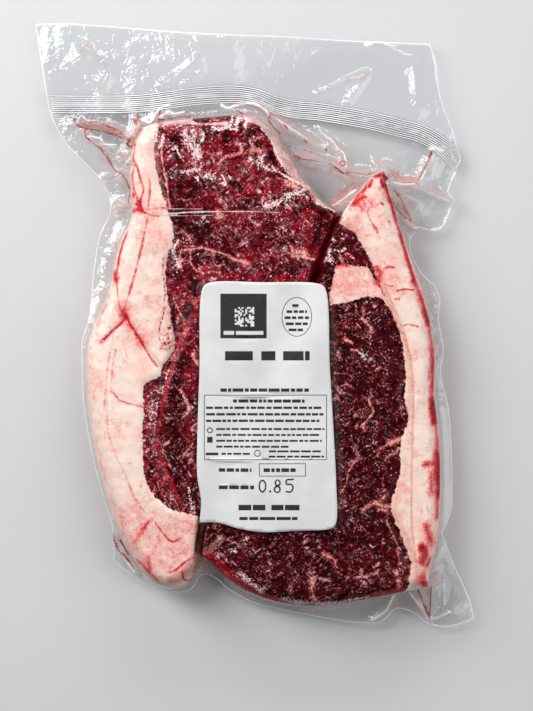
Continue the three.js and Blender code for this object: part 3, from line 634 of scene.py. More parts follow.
# Darker lean over most of this steak, and painted shade beside the join near its lower end.
RIGHT_DARK_AND_SHADE = [
    ([(40, 0), (40, -40), (42, -80), (28, -108)], 40, 0.95),
    ([(-28, -97), (-20, -98), (-13, -99)], 5, 1),
    ([(-26, -103), (-16, -104)], 3, 0.8),
    ([(44, 39), (49, 37), (56, 29)], 3, 0.6),
    ([(58, 6), (63, -2), (66, -10)], 4, 0.5),
    ([(60, -92), (55, -100), (58, -109)], 4, 0.5),
]
RIGHT_BLOOD = [
    ([(47.3, 57.6), (49.3, 59.2), (51.5, 60.5)], 1.5, 1.1),
    ([(48.6, 61), (50.2, 62.8), (52.3, 64)], 0.9, 1),
    ([(52.6, 61.4), (53.2, 60.6)], 0.8, 1),
    ([(53.2, 64.8), (53.4, 66.8)], 0.6, 1),
    ([(55, 65.8), (56.2, 68.8)], 0.7, 1),
    ([(49.5, 57), (51, 55.3), (52.2, 54.2)], 1.1, 0.55),
    ([(52.3, 58.6), (53, 55.8), (55, 55.4), (56.2, 57.4)], 1.4, 0.5),
    ([(54, 55), (54.3, 51.8), (55.6, 49.2), (57.6, 46), (59, 43.8)], 0.6, 0.5),
    ([(59.3, 51.2), (61, 52.3), (62.4, 53.8)], 0.6, 0.55),
    ([(58, 56.5), (60, 58.5)], 0.5, 0.5),
    ([(60.9, 57.6), (61.1, 57.3)], 0.6, 1.1),
    ([(57, 71.8), (59.5, 71.5), (61, 72.6), (62.6, 72)], 1.4, 1.2),
    ([(60.6, 69.4), (61.4, 67.4), (61.8, 65.8)], 1.0, 1.1),
    ([(62.3, 69.5), (63.3, 66), (64.3, 62), (65.2, 58.6)], 1.3, 1.1),
    ([(65.6, 56.8), (66.6, 54.4)], 0.7, 1),
    ([(64.3, 49.3), (64, 48.4)], 0.5, 0.5),
    ([(58, 45), (59.5, 41)], 0.5, 0.4),
    ([(45.5, 54.6), (48.5, 54.8)], 0.5, 0.5),
    ([(37.5, 27.5), (41, 28.4), (45, 28)], 1.2, 0.8),
    ([(36.8, 25), (37.3, 18)], 0.8, 0.55),
    ([(62.6, 26.8), (64.2, 27.3), (66.3, 27.2)], 0.6, 0.85),
    ([(58, 27), (60, 25), (59.5, 21)], 1.2, 0.7),
    ([(62, 19), (66, 18.3)], 0.4, 0.5),
    ([(68, 16), (72, 16.8), (76.5, 16.2)], 0.35, 0.85),
    ([(58, 26), (60, 23), (59, 20)], 1.7, 0.7),
    ([(67, 12), (69, 12.3)], 0.6, 0.6),
    ([(71, -0.5), (74, 0), (78, -1)], 0.45, 0.6),
    ([(66, 57), (69.7, 44), (73.3, 32), (76.5, 21)], 1.1, 0.95),
    ([(76.3, 20), (79.2, 14), (81.8, 6)], 1.6, 0.85),
    ([(81.6, 7), (83.4, 1)], 1.7, 1.25),
    ([(83.6, 1), (85, -8), (85.6, -14)], 1.3, 0.8),
    ([(85.5, -12), (85.8, -20), (85.8, -32)], 1.7, 1.0),
    ([(86, -36), (86.3, -42), (87, -46)], 2.2, 1.45),
    ([(87.6, -48), (88, -56), (88.2, -62)], 1.4, 0.85),
    ([(82, -66.5), (86.3, -66.8), (87.8, -70)], 1.6, 0.78),
    ([(84, -70.5), (84.6, -75), (84.2, -81)], 1.4, 0.66),
    ([(86, -69), (87, -79)], 1.7, 0.7),
    ([(88.2, -62), (88.4, -72), (88.4, -82)], 2.1, 1.25),
    ([(88, -84), (87.7, -92)], 1.5, 0.7),
    ([(82, -95.5), (83, -100), (85, -104)], 1.7, 0.8),
    ([(82.5, -100), (86, -104)], 1.4, 0.7),
    ([(80, -106), (81.2, -110), (80, -112.5)], 1.8, 1.35),
    ([(80, -112), (82.8, -115), (84, -112)], 1.3, 0.75),
    ([(80.3, -121), (81.5, -124), (83.5, -125)], 2.0, 1.0),
]
RIGHT_STAINS = [
    ([(41, 50), (46, 48), (50, 44)], 4, 1.1),
    ([(38, 15), (46, 20), (56, 21)], 10, 1.2),
    ([(66, 58), (71, 45), (77, 26), (83, 5), (87, -20)], 2.4, 0.75),
    ([(87, -20), (88, -60), (89, -90), (85, -122)], 3.4, 0.85),
    ([(50, 58), (55, 66), (62, 66)], 5, 0.9),
    ([(56, 58), (62, 44), (66, 32)], 4, 0.5),
    ([(57, 26), (60, 22), (62, 28)], 4, 0.8),
    ([(57, 20), (60, 13)], 2, 0.9),
    ([(81, -96), (81, -120)], 2.4, 0.7),
    ([(72, -36), (73, -50), (72, -70), (71, -90)], 2, 0.5),
]
RIGHT_TAN = [
    ([(57.6, 24), (59.5, 19.5), (62, 14.5), (65, 8), (68, 1.5), (71, -5.5), (73.3, -13)], 0.5, 1),
    ([(60.5, 21.5), (63.5, 15), (66.5, 8), (69.5, 1), (72.3, -7), (74.3, -16), (75.3, -24), (75.7, -40),
      (75.2, -60), (75, -80), (75, -95), (76.3, -107), (77.4, -117), (77.8, -124)], 0.42, 0.95),
    ([(59, 19), (66, 4), (71.5, -10), (74, -22), (74, -45)], 1.5, 0.5),
    ([(69, -75), (67, -90), (70.5, -97), (74, -104), (76.5, -112), (77, -118), (77, -125)], 1.8, 0.62),
]
LEFT_SEAM = [
    ([(-25, 17.3), (-27.5, 10), (-31.5, 1)], 1.6, 0.55),
    ([(-31.5, 1), (-36, -9), (-38.8, -20), (-41.8, -31)], 1.7, 0.72),
    ([(-41.8, -31), (-44.4, -42), (-45.8, -53), (-44.4, -64), (-39.5, -75), (-34.5, -86)], 1.5, 0.7),
]
RIGHT_SEAM = [
    ([(42.3, 35), (45, 33.8), (47, 32), (48, 30.4)], 0.6, 1),
    ([(43, 31), (48, 31.5), (53, 29.5)], 0.8, 0.6),
    ([(55.5, 29), (57.5, 26)], 1.2, 0.7),
    ([(-23, -111.5), (-15, -118), (-8, -123.5), (-2, -127.5)], 2.8, 1.4),
    ([(-2, -127.5), (5, -129.7), (14, -131.6)], 1.2, 1.1),
    ([(56, -129.8), (66, -127.6), (72, -126.4)], 1.2, 0.9),
]
MEMBRANES = [
    ([(-46.6, 88), (-46.7, 80), (-45.6, 72), (-44.1, 66), (-41.9, 56)], 1.1, 1),
    ([(-27.5, -108), (-22, -107.6), (-18.5, -105), (-15, -101.3)], 1.5, 1.15),
]
# Painted shade: dark slits in narrow cracks of the meat, and the crevice along the join between the steaks.
SLOT_SHADE_MARKS = [
    ([(40.5, -131.5), (43, -129), (45.5, -126.5)], 1.1, 0.8),
    ([(57, -108.5), (62.5, -110), (67.5, -112.5)], 0.8, 0.7),
    ([(-40.2, 14.1), (-42, 8.2), (-43.8, 2.7), (-45.2, -1.8), (-45.4, -5.5), (-44.5, -8.4)], 0.5, 0.7),
    ([(-37.5, 11.4), (-38.6, 6.8), (-38.3, 4.1), (-39.3, 1.4), (-40.2, -1.8), (-40.6, -3.2)], 1.1, 0.62),
    ([(-38, 4.1), (-38, 0.9), (-38.5, -3.6), (-42, -4.5), (-43.4, -5.2)], 1.1, 0.66),
    ([(-38, -6), (-39, -8.2), (-42, -9.1), (-44.4, -11), (-42, -11.6), (-38.6, -9.6)], 1.1, 0.7),
    ([(-39.4, 7), (-39.8, 0), (-40.5, -6), (-41, -10)], 2.6, 0.5),
    ([(-41, 32.5), (-41, 21)], 2.2, 0.45),
    ([(-43.2, 31), (-43.3, 24), (-42.6, 18), (-42.5, 14), (-43.1, 8)], 0.35, 0.8),
    ([(41, 53), (38.2, 48), (35.6, 41.5), (33, 34.5), (30.4, 28), (28, 23), (27, 20)], 0.55, 1),
    ([(55, 27), (57, 23), (60, 17.5), (62, 14)], 0.4, 0.75),
    ([(79.8, -107), (81.2, -110), (80.3, -113)], 0.7, 0.75),
]
FAT_WEDGE = [
    (39, 28.7, 1), (44, 28.6), (50, 27.3), (54, 27.6), (56, 24), (61, 17), (61.2, 12.6, 1), (55, 13.2),
    (47, 11.3), (41, 9.8), (36, 8.7, 1), (36, 15), (37.5, 22),
]
SILVERSKIN = [
    (-3.5, 96.8, 1), (1, 95.8), (4, 93.8), (6.2, 91), (8, 87.5), (9.3, 84), (11.2, 80), (13.8, 76.3),
    (16.8, 72), (18.5, 69.8, 1), (24, 67.2), (29.5, 58.5, 1), (40, 55), (36, 70), (22, 84), (12, 98),
    (2, 104), (-8, 104, 1),
]
SILVER_RIM = [
    (-47, 99.5, 1), (-44, 95.4), (-36, 95.8), (-30, 95.3), (-20, 95.2), (-12, 94.8, 1), (-12, 96.2),
    (-20, 96.2), (-28, 96.8), (-30, 99), (-31, 102, 1),
]


class Wire:
    """A socket in a material. Arithmetic on it adds Math nodes, and node() adds any other kind."""

    def __init__(self, socket):
        self.socket = socket

    def node(self, kind, settings=None, inputs=None, out=0):
        """A node of a kind, with its settings set first, and then the values or links of its sockets."""
        tree = self.socket.id_data
        made = tree.nodes.new("ShaderNode" + kind)
        for key, value in (settings or {}).items():
            setattr(made, key, value)
        for key, value in (inputs or {}).items():
            if isinstance(value, Wire):
                tree.links.new(value.socket, made.inputs[key])
            else:
                made.inputs[key].default_value = value
        return Wire(made.outputs[out])

    def sum(self, how, *values):
        return self.node("Math", {"operation": how}, dict(enumerate(values)))

    def __add__(self, other):
        return self.sum("ADD", self, other)

    __radd__ = __add__

    def __sub__(self, other):
        return self.sum("SUBTRACT", self, other)

    def __rsub__(self, other):
        return self.sum("SUBTRACT", other, self)

    def __mul__(self, other):
        return self.sum("MULTIPLY", self, other)

    __rmul__ = __mul__

    def __abs__(self):
        return self.sum("ABSOLUTE", self)

    def or_else(self, other):
        """The greater of the two."""
        return self.sum("MAXIMUM", self, other)

    def rise(self, low, high):
        """Eases from 0 at low to 1 at high. The other way round where low is the greater."""
        inputs = {"Value": self, "From Min": low, "From Max": high}
        return self.node("MapRange", {"interpolation_type": "SMOOTHSTEP"}, inputs)

    def blend(self, under, over):
        """One colour over another by this much."""
        return self.node("Mix", {"data_type": "RGBA"}, {0: self, 6: under, 7: over}, out=2)

    def cover(self, under, over):
        """One surface over another by this much."""
        return self.node("MixShader", inputs={0: self, 1: under, 2: over})

    def value(self, name):
        """A value that the mesh holds at its corners."""
        return self.node("Attribute", {"attribute_name": name}, out=2)

    def place(self):
        """Where a point is on the object, in millimetres."""
        where = self.node("TexCoord", out=3)
        return self.node("VectorMath", {"operation": "MULTIPLY"}, {0: where, 1: (1000, 1000, 1000)})

    def grain(self, size, detail=2.0, rough=0.5, swirl=0.0):
        """Noise over this place, in lumps of a size, from 0 to 1."""
        inputs = {"Vector": self, "Scale": 1 / size, "Detail": detail, "Roughness": rough}
        return self.node("TexNoise", inputs={**inputs, "Distortion": swirl})

    def cells(self, size, feature="F1"):
        """Cell noise over this place, as the distance to the nearest cell's middle or edge."""
        return self.node("TexVoronoi", {"feature": feature}, {"Vector": self, "Scale": 1 / size})

    def turned(self, angle, squeeze):
        """This place turned about the vertical, and squeezed along its new second axis."""
        turn = self.node("VectorRotate", {"rotation_type": "Z_AXIS"}, {"Vector": self, "Angle": angle})
        return turn.node("VectorMath", {"operation": "MULTIPLY"}, {0: turn, 1: (1, squeeze, 1)})

    def shine(self, colour, rough, **more):
        """A surface of a colour and a roughness."""
        inputs = {"Base Color": colour, "Roughness": rough, **more}
        return self.node("BsdfPrincipled", inputs=inputs)

    def bump(self, height):
        """Relief from these values, of a height in millimetres."""
        inputs = {"Height": self, "Distance": height * 0.001, "Strength": 1.0}
        return self.node("Bump", inputs=inputs)


def new_material(name):
    """An empty material, and a wire on its output to build from."""
    material = bpy.data.materials.new(name)
    material.use_nodes = True
    material.node_tree.nodes.clear()
    end = material.node_tree.nodes.new("ShaderNodeOutputMaterial")
    return material, Wire(end.inputs["Surface"])


def finish_material(end, surface):
    """Joins a surface to a material's output."""
    end.socket.id_data.links.new(surface.socket, end.socket)


LEAN_PIT = (0.013, 0.0001, 0.0005, 1)
LEAN_DEEP = (0.028, 0.0003, 0.0014, 1)
LEAN_RED = (0.155, 0.0016, 0.0070, 1)
LEAN_BRIGHT = (0.370, 0.0044, 0.0190, 1)
JUICE_RED = (0.520, 0.0090, 0.0200, 1)
SEAM_RED = (0.300, 0.0030, 0.0120, 1)
FROST_HAZE_AND_SHEEN = (0.420, 0.125, 0.155, 1)
STRAND_RED = (0.420, 0.036, 0.056, 1)
STRAND = (0.600, 0.200, 0.230, 1)
FROST = (0.950, 0.690, 0.690, 1)
GLINT = (1.0, 0.92, 0.93, 1)
VEIN = (0.820, 0.400, 0.330, 1)
VEIN_EDGE = (0.480, 0.070, 0.075, 1)
MEMBRANE = (0.270, 0.090, 0.075, 1)
FAT_CREAM = (0.845, 0.685, 0.590, 1)
FAT_PALE = (0.850, 0.550, 0.475, 1)
FAT_PINK = (0.820, 0.385, 0.345, 1)
FAT_STAIN = (0.740, 0.130, 0.125, 1)
FAT_TAN = (0.760, 0.370, 0.280, 1)
TAN_LINE = (0.520, 0.130, 0.095, 1)
BLOOD_DARK = (0.140, 0.002, 0.004, 1)
SLOT_SHADE_RED = (0.210, 0.012, 0.016, 1)
SILVER = (0.580, 0.330, 0.310, 1)
SILVER_PALE = (0.740, 0.540, 0.510, 1)
NO_GLOSS = {"Specular IOR Level": 0.0}


def shown(marks, ragged, fine, middle):
    """A group of marks with uneven edges, broken up where they are faint."""
    return (marks + (fine - 0.5) * ragged + (middle - 0.5) * 0.35).rise(0.36, 0.60)


def lean_colour(end, at, fine, middle):
    """Mottled red, dark patches, pits, veins, frost and silverskin, with painted shade, sheen and glints."""
    lean = at.grain(15, 3).rise(0.38, 0.60).blend(LEAN_DEEP, LEAN_RED)
    lean = (middle.rise(0.44, 0.64) * 0.75).blend(lean, LEAN_BRIGHT)
    # Darker lean: partly the meat's own colour and partly painted shade beside the join.
    dark = (end.value("dark") + (middle - 0.5) * 0.9).rise(0.1, 0.7)
    lean = (dark * 0.80).blend(lean, LEAN_DEEP)
    seam = shown(end.value("seam"), 0.6, fine, middle)
    lean = seam.blend(lean, SEAM_RED)
    core = end.value("seam") + (middle - 0.5) * 2.0 + (fine - 0.5) * 1.2
    lean = (core.rise(0.70, 1.15) * 0.75).blend(lean, JUICE_RED)
    lean = (shown(end.value("membrane"), 0.5, fine, middle) * 0.85).blend(lean, MEMBRANE)

    # Frost haze; the haze marks also carry painted sheen where the wet film catches the light.
    thick = (end.value("haze_and_sheen") + (middle - 0.5) * 1.2).rise(0.05, 0.75)
    frosty = at.grain(12, 3, 0.6).rise(0.46, 0.60).or_else(thick)
    haze_and_sheen = at.grain(3.6, 5, 0.68).rise(0.48, 0.64) * (frosty * 0.55 + 0.03)
    haze_and_sheen = haze_and_sheen * (1 - dark * 0.85) * (1 - seam * 0.8)
    lean = haze_and_sheen.blend(lean, FROST_HAZE_AND_SHEEN)
    crystals = at.grain(0.9, 3, 0.7)
    vein = end.value("vein") + (crystals - 0.5) * 2.0 + (middle - 0.5) * 0.9
    lean = (vein.rise(0.20, 0.60) * 0.75).blend(lean, VEIN_EDGE)
    lean = vein.rise(0.50, 1.05).blend(lean, VEIN)

    lay = at.grain(9, 2).rise(0.44, 0.56)
    strands = at.turned(0.95, 0.15).grain(1.2, 2) * lay + at.turned(-0.7, 0.15).grain(1.2, 2) * (1 - lay)
    clumps = at.grain(3.4, 4, 0.65).rise(0.44, 0.58)
    hairs = abs(at.grain(2.4, 1, swirl=0.9) - 0.5).rise(0.040, 0.012) * at.grain(2.0, 2).rise(0.50, 0.58)
    strands = strands.rise(0.545, 0.59).or_else(hairs * 0.9)
    strands = strands * clumps * (frosty * 0.75 + 0.25 + dark * 0.08) * (1 - seam * 0.6)
    bright = crystals.rise(0.43, 0.56) * (frosty * 0.75 + 0.25) * (1 - dark * 0.55)
    tint = (frosty * (1 - dark * 0.5)).blend(STRAND_RED, STRAND)
    lean = (strands * 0.9).blend(lean, bright.blend(tint, FROST))

    pits = at.grain(2.6, 4, 0.62).rise(0.53, 0.42) * (at.grain(7, 2).rise(0.60, 0.44) * 0.4 + 0.6)
    pits = pits * (1 - vein.rise(0.4, 1.0) * 0.6) * (1 - seam * 0.45)
    lean = (pits * (dark * 0.30 + 0.65)).blend(lean, LEAN_PIT)
    # Pale frost streaks, some of them painted highlights of the wet film.
    streak = (end.value("streak") + (crystals - 0.5) * 3.4 + (middle - 0.5) * 1.0).rise(0.36, 0.90)
    lean = (streak * 0.95).blend(lean, FROST)
    # Painted highlights: small white glints of light off the film over the frost.
    glint = at.turned(0.95, 0.4).cells(1.5).rise(0.20, 0.13) * lay
    glint = glint.or_else(at.turned(-0.7, 0.4).cells(1.5).rise(0.20, 0.13) * (1 - lay))
    glint = glint * at.grain(2.6, 2).rise(0.50, 0.55) * (frosty * 0.55 + 0.4)
    glint = glint * (1 - dark * 0.62) * (1 - seam * 0.6)
    lean = (glint * 0.95).blend(lean, GLINT)
    # Painted shade in the slots.
    lean = (shown(end.value("slot_shade"), 0.7, fine, middle) * 0.95).blend(lean, LEAN_PIT)

    silver = (end.value("silver") + (fine - 0.5) * 1.2 + (middle - 0.5) * 1.4).rise(-0.4, 0.5)
    skin_red = at.grain(2.4, 4, 0.65).rise(0.56, 0.68) * 0.6
    skin_tone = at.turned(0.9, 0.55).grain(4, 3).rise(0.40, 0.65).blend(SILVER, SILVER_PALE)
    lean = (silver * 0.92).blend(lean, skin_red.blend(skin_tone, VEIN_EDGE))
    return (streak * silver * 0.9).blend(lean, FROST)


def fat_colour(end, at, fine, middle):
    """Cream to pink, with stained lobules, fine threads, tan lines, blood, and painted shade in slots."""
    lobules = at.cells(4.5, "DISTANCE_TO_EDGE").rise(0.09, 0.0) * middle.rise(0.42, 0.60)
    stain = (end.value("stain") + (middle - 0.5) * 1.1 + (fine - 0.5) * 0.25).rise(0.1, 0.95)
    fat = at.grain(12, 4, 0.6).rise(0.46, 0.68).blend(FAT_CREAM, FAT_PALE)
    fat = (stain * 0.7).blend(fat, FAT_PINK)
    fat = (lobules * (stain * 0.5 + 0.18)).blend(fat, FAT_PINK)
    fat = (at.grain(4.5, 3, 0.6).rise(0.50, 0.60) * stain * 0.75).blend(fat, FAT_CREAM)
    fat = (at.grain(5.5, 4, 0.65).rise(0.49, 0.64) * stain * 0.45).blend(fat, FAT_STAIN)
    flecks = at.grain(2.2, 4, 0.65).rise(0.51, 0.64) * (stain * 0.5 + 0.04)
    fat = flecks.blend(fat, FAT_STAIN)
    threads = abs(at.grain(12, 3, 0.6, swirl=0.7) - 0.5).rise(0.030, 0.006) * at.grain(8, 2).rise(0.46, 0.58)
    fat = (threads * 0.38).blend(fat, FAT_STAIN)
    granules = at.cells(1.6).rise(0.45, 0.15) * (stain * 0.4 + 0.1)
    fat = granules.blend(fat, FAT_CREAM)

    tan = end.value("tan") + (middle - 0.5) * 0.4
    fat = (tan.rise(0.05, 0.6) * 0.7).blend(fat, FAT_TAN)
    fat = ((tan + (fine - 0.5) * 0.8).rise(0.50, 0.95) * 0.65).blend(fat, TAN_LINE)
    blood = end.value("blood")
    line = blood + (at.grain(0.9, 3, 0.7) - 0.5) * 1.3 + (fine - 0.5) * 0.5 + (middle - 0.5) * 1.1
    fat = (blood.rise(0.0, 0.7) * 0.55).blend(fat, FAT_PINK)
    fat = (line.rise(0.12, 0.55) * 0.75).blend(fat, FAT_STAIN)
    fat = (line.rise(0.38, 0.85) * 0.95).blend(fat, JUICE_RED)
    fat = (line.rise(0.80, 1.25) * 0.85).blend(fat, BLOOD_DARK)
    # Painted shade in the slots, darkest in dotted cells.
    slot_shade = shown(end.value("slot_shade"), 1.3, fine, middle)
    fat = (slot_shade * 0.45).blend(fat, VEIN_EDGE)
    return (slot_shade * at.cells(1.7).rise(0.52, 0.40)).blend(fat, SLOT_SHADE_RED)


def meat_material():
    """Lean and fat with a ragged edge between them. The wet gloss is the film's."""
    material, end = new_material("raw_strip_steak")
    at = end.place()
    fine = at.grain(1.3, 3)
    middle = at.grain(5, 3)
    edge = end.value("fat") + (at.grain(2.6, 3) - 0.5) * 2.4 + (fine - 0.5) * 0.7
    is_fat = edge.rise(-0.2, 0.35)
    colour = is_fat.blend(lean_colour(end, at, fine, middle), fat_colour(end, at, fine, middle))
    height = (middle * 0.5 + fine * 0.3) * (1 - is_fat * 0.5)
    surface = end.shine(colour, at.grain(3, 2) * 0.24 + 0.30, Normal=height.bump(0.55), **NO_GLOSS)
    finish_material(end, surface)
    return material


meat = meat_material()


def marked(marks, at):
    """How strongly each place is marked: in full at a mark's middle, and 0 at twice its half width."""
    strongest = np.zeros(len(at))
    for path, half, strength in marks:
        gap = nearest(smooth(path, 1.2), at, reach=2 * half)[0]
        strongest = np.maximum(strongest, strength * (1 - gap / (2 * half)))
    return strongest


EDGE_RINGS = (0.08, 0.3, 0.7, 1.2, 1.9, 2.8, 4)
FOOT_RINGS = (0.08, 0.5, 1.2, 2.2, 3.6, 5.2, 7)
MEAT_STEP = 0.85
MEAT_UNDER_STEP = 3.0


def make_steak(name, side, marks):
    """One steak, closed all round, with its marks as values at its corners. Side 0 is the left one."""
    loop = beside(outlines[side], FILM_GAP, closed=True)
    lines = [smooth(path, 0.9) for key in ("vein", "blood", "streak", "slot_shade") for path, *_ in marks[key]]
    edges = [beside(loop, inwards, closed=True) for inwards in EDGE_RINGS]
    feet = [beside(loop, inwards, closed=True) for inwards in FOOT_RINGS]
    side_middle = SIDE_HEIGHT - SIDE_LIP / 2

    def top(at):
        depth = depth_in(loop, at)
        own = side_middle + (crown(at) + relief(at, side) - side_middle) * rounded(depth, top_rounding(at))
        return np.where(depth > 0.01, np.minimum(own, film_over(at)) - FILM_GAP, side_middle)

    def under(at):
        return FILM_GAP + (side_middle - FILM_GAP) * (1 - rounded(depth_in(loop, at), FOOT_ROUNDING))

    top_places = spread([*edges, *lines, lattice(MEAT_STEP)], room=0.5)
    under_places = spread([*feet, lattice(MEAT_UNDER_STEP)], room=1.5)
    corners, faces = skin(loop, top_places, top, under_places, under)
    at = corners[:, :2]
    low = 1 - ease((corners[:, 2] - SIDE_HEIGHT) / MARK_FADE_RUN)
    on_side = np.column_stack([at.sum(axis=1), corners[:, 2] * 1.6])
    stray = np.column_stack([lumps(on_side, 7, 3), lumps(on_side, 7, 4)]) * low[:, None] * MARK_STRAY
    values = {key: marked(group, at + stray) * (1 - low * MARK_FADE) for key, group in marks.items()}
    values["fat"] = fat_depth(at, side)
    if side:
        values["fat"] = np.maximum(values["fat"], depth_in(closed_line(FAT_WEDGE, 1.5), at))
    silver = [depth_in(closed_line(shape, 2), at) for shape in (SILVERSKIN, SILVER_RIM)]
    values["silver"] = np.full(len(at), -20.0) if side else np.maximum(*silver)
    piece = make_piece(name, corners, faces, values)
    piece.data.materials.append(meat)


make_steak("left_steak", 0, {
    "vein": LEFT_VEINS,
    "streak": LEFT_STREAKS_AND_GLINTS,
    "haze_and_sheen": LEFT_HAZE_AND_SHEEN,
    "dark": LEFT_DARK_AND_SHADE,
    "blood": LEFT_BLOOD,
    "stain": LEFT_STAINS,
    "seam": LEFT_SEAM,
    "membrane": MEMBRANES,
    "slot_shade": SLOT_SHADE_MARKS,
    "tan": [],
})
make_steak("right_steak", 1, {
    "vein": RIGHT_VEINS,
    "streak": RIGHT_STREAKS_AND_GLINTS,
    "haze_and_sheen": RIGHT_HAZE_AND_SHEEN,
    "dark": RIGHT_DARK_AND_SHADE,
    "blood": RIGHT_BLOOD,
    "stain": RIGHT_STAINS,
    "seam": RIGHT_SEAM,
    "membrane": MEMBRANES,
    "slot_shade": SLOT_SHADE_MARKS,
    "tan": RIGHT_TAN,
})


# The pouch: two layers of clear, shiny vacuum film, heat-sealed round the edge and sucked tight onto the
# meat. A band of fine ribs seals the wide flap above it, whose two layers part a little at the open mouth.
# Its marks are lines of juice, painted highlights along creases, painted shade in the join, and pockets of
# tan juice.
POUCH_OUTLINE = [
    (-107, 147, 1), (-85, 146.5), (-21.5, 141), (22, 140), (85.5, 137, 1), (88, 129), (90.5, 110.5),
    (97, 93), (100.5, 80.5, 1), (97.5, 73), (94, 65, 1), (97, 60.5, 1), (94.5, 53), (90.5, 46.5), (85, 46),
    (79.5, 47.5, 1), (75.5, 41), (76, 35), (82.5, 24), (88, 19), (90.5, 12), (89.5, 4), (92, -12),
    (90.5, -23), (94.2, -40), (96, -76), (95.5, -91), (91, -101, 1), (98.5, -119.5), (104.5, -133),
    (107, -143, 1), (100.5, -145.5), (93, -147), (85, -145.5), (75.5, -139), (68, -138), (63, -143.5),
    (53, -145), (28.5, -141.5), (8.5, -137.5), (-0.5, -135), (-13, -128), (-20, -122), (-25.5, -121),
    (-30.5, -128), (-40, -129.5), (-55.5, -124), (-68.5, -114.5, 1), (-68.5, -100), (-74.5, -79),
    (-80, -56), (-83, -36), (-83.8, -8, 1), (-80.5, 3.5), (-78, 28), (-75, 44.5), (-70, 54.5), (-71, 63),
    (-74.5, 70.5, 1), (-92, 89), (-99, 102), (-102.5, 120),
]
MOUTH = POUCH_OUTLINE[:5]
SEAL = [
    (-101, 107.6), (-80, 107.4), (-60, 107.4), (-50, 108.1), (-40, 109.4), (-30, 110.8), (-20, 111.6),
    (-10, 112), (0, 110.7), (10, 107), (20, 104.9), (30, 104), (40, 102.4), (50, 100.6), (60, 98.4),
    (70, 95.7), (80, 93.2), (88, 89.2), (93.5, 85), (98.5, 79.5),
]
SEAL_WIDTH = 9
SEAL_RIBS = 9
RIB_PITCH = SEAL_WIDTH / SEAL_RIBS
RIB_HEIGHT = 0.35
RIBS_FROM_RIM = 1.6
PARTING = 1.0
PARTING_FROM = 122.0
PARTING_RUN = 20.0
JUICE_LINES = [
    ([(-56.5, 86), (-62, 87), (-60.5, 89.5), (-63, 91.5), (-66, 94.3), (-70, 95.8), (-76, 98.2),
      (-86.5, 97.5)], 0.5, 1),
    ([(-63, 90), (-66, 91.5), (-74, 94), (-84.5, 96)], 0.4, 1),
    ([(-87.5, 100), (-86.5, 97.5), (-84, 96), (-82.5, 95), (-82, 92.5), (-81.5, 91), (-78, 88), (-74, 84.5),
      (-70, 79), (-67, 74.5), (-64, 72.8), (-62, 70), (-60.5, 66), (-61, 58)], 0.45, 1),
    ([(-80.5, 90.5), (-76, 87), (-66, 80.5), (-61.5, 77.5), (-58, 76.5)], 0.35, 0.85),
    ([(-62, 86.5), (-60, 89), (-56.5, 93.5), (-54.5, 95), (-50, 97), (-46, 99), (-41, 99.9),
      (-31, 100.8)], 0.45, 1),
    ([(-58.8, 100), (-57.5, 98), (-57, 96)], 0.8, 1),
    ([(-56, 102), (-56.7, 98)], 0.35, 1),
    ([(-46.3, 99.5), (-45.5, 104)], 0.35, 0.8),
    ([(-8, 104), (-5.5, 102)], 0.8, 1),
    ([(8, 102.5), (7, 99.5), (8.5, 97), (10.5, 94.5), (12.5, 93)], 0.5, 1),
    ([(7, 102.5), (11, 99.6)], 0.4, 1),
    ([(14.5, 96.5), (16, 95)], 0.5, 1),
    ([(24.3, 89.2), (25.3, 88.5)], 0.4, 1),
    ([(34.5, 85.3), (35, 84.6)], 0.4, 1),
    ([(13, 88), (20, 86), (30, 83), (38, 79.5)], 0.25, 0.8),
    ([(19.5, 81.5), (21.3, 80.2)], 1.4, 1),
    ([(22.5, 79.6), (30, 78.7), (35.3, 78), (38, 76.5), (43, 73)], 0.4, 1),
    ([(41.5, 79), (43.5, 79.4), (44.2, 77.7), (42, 76.4), (41.3, 78.5)], 0.35, 1),
    ([(45, 74), (53, 72.3), (58, 73.5)], 0.5, 1),
    ([(61, 72.5), (62.5, 71), (63.5, 70)], 1.4, 1),
    ([(64, 72), (69, 68.7), (79, 69)], 0.4, 0.9),
    ([(67.5, 65.5), (70, 62), (73, 56), (75.5, 51)], 0.4, 1),
    ([(66, 61), (68.5, 56), (72, 52.5), (76, 50)], 0.35, 0.9),
    ([(85.8, 84), (84.5, 80), (82, 75), (80, 71), (78, 68)], 0.45, 1),
    ([(79, -128), (85, -142.5)], 0.35, 1),
    ([(85.3, -126), (85, -142.5)], 0.4, 1),
    ([(-68.5, -101), (-66.5, -108), (-62, -113), (-58.5, -118)], 0.6, 1),
    ([(-65, -104), (-61, -111)], 0.6, 1),
    ([(-25.5, -111), (-28, -115), (-29.5, -119.5)], 0.6, 0.9),
    ([(-34, -117.8), (-33.2, -121.7), (-30.8, -122.8)], 0.9, 1),
    ([(-24, -111.5), (-15, -120), (-4, -128)], 0.9, 1),
]
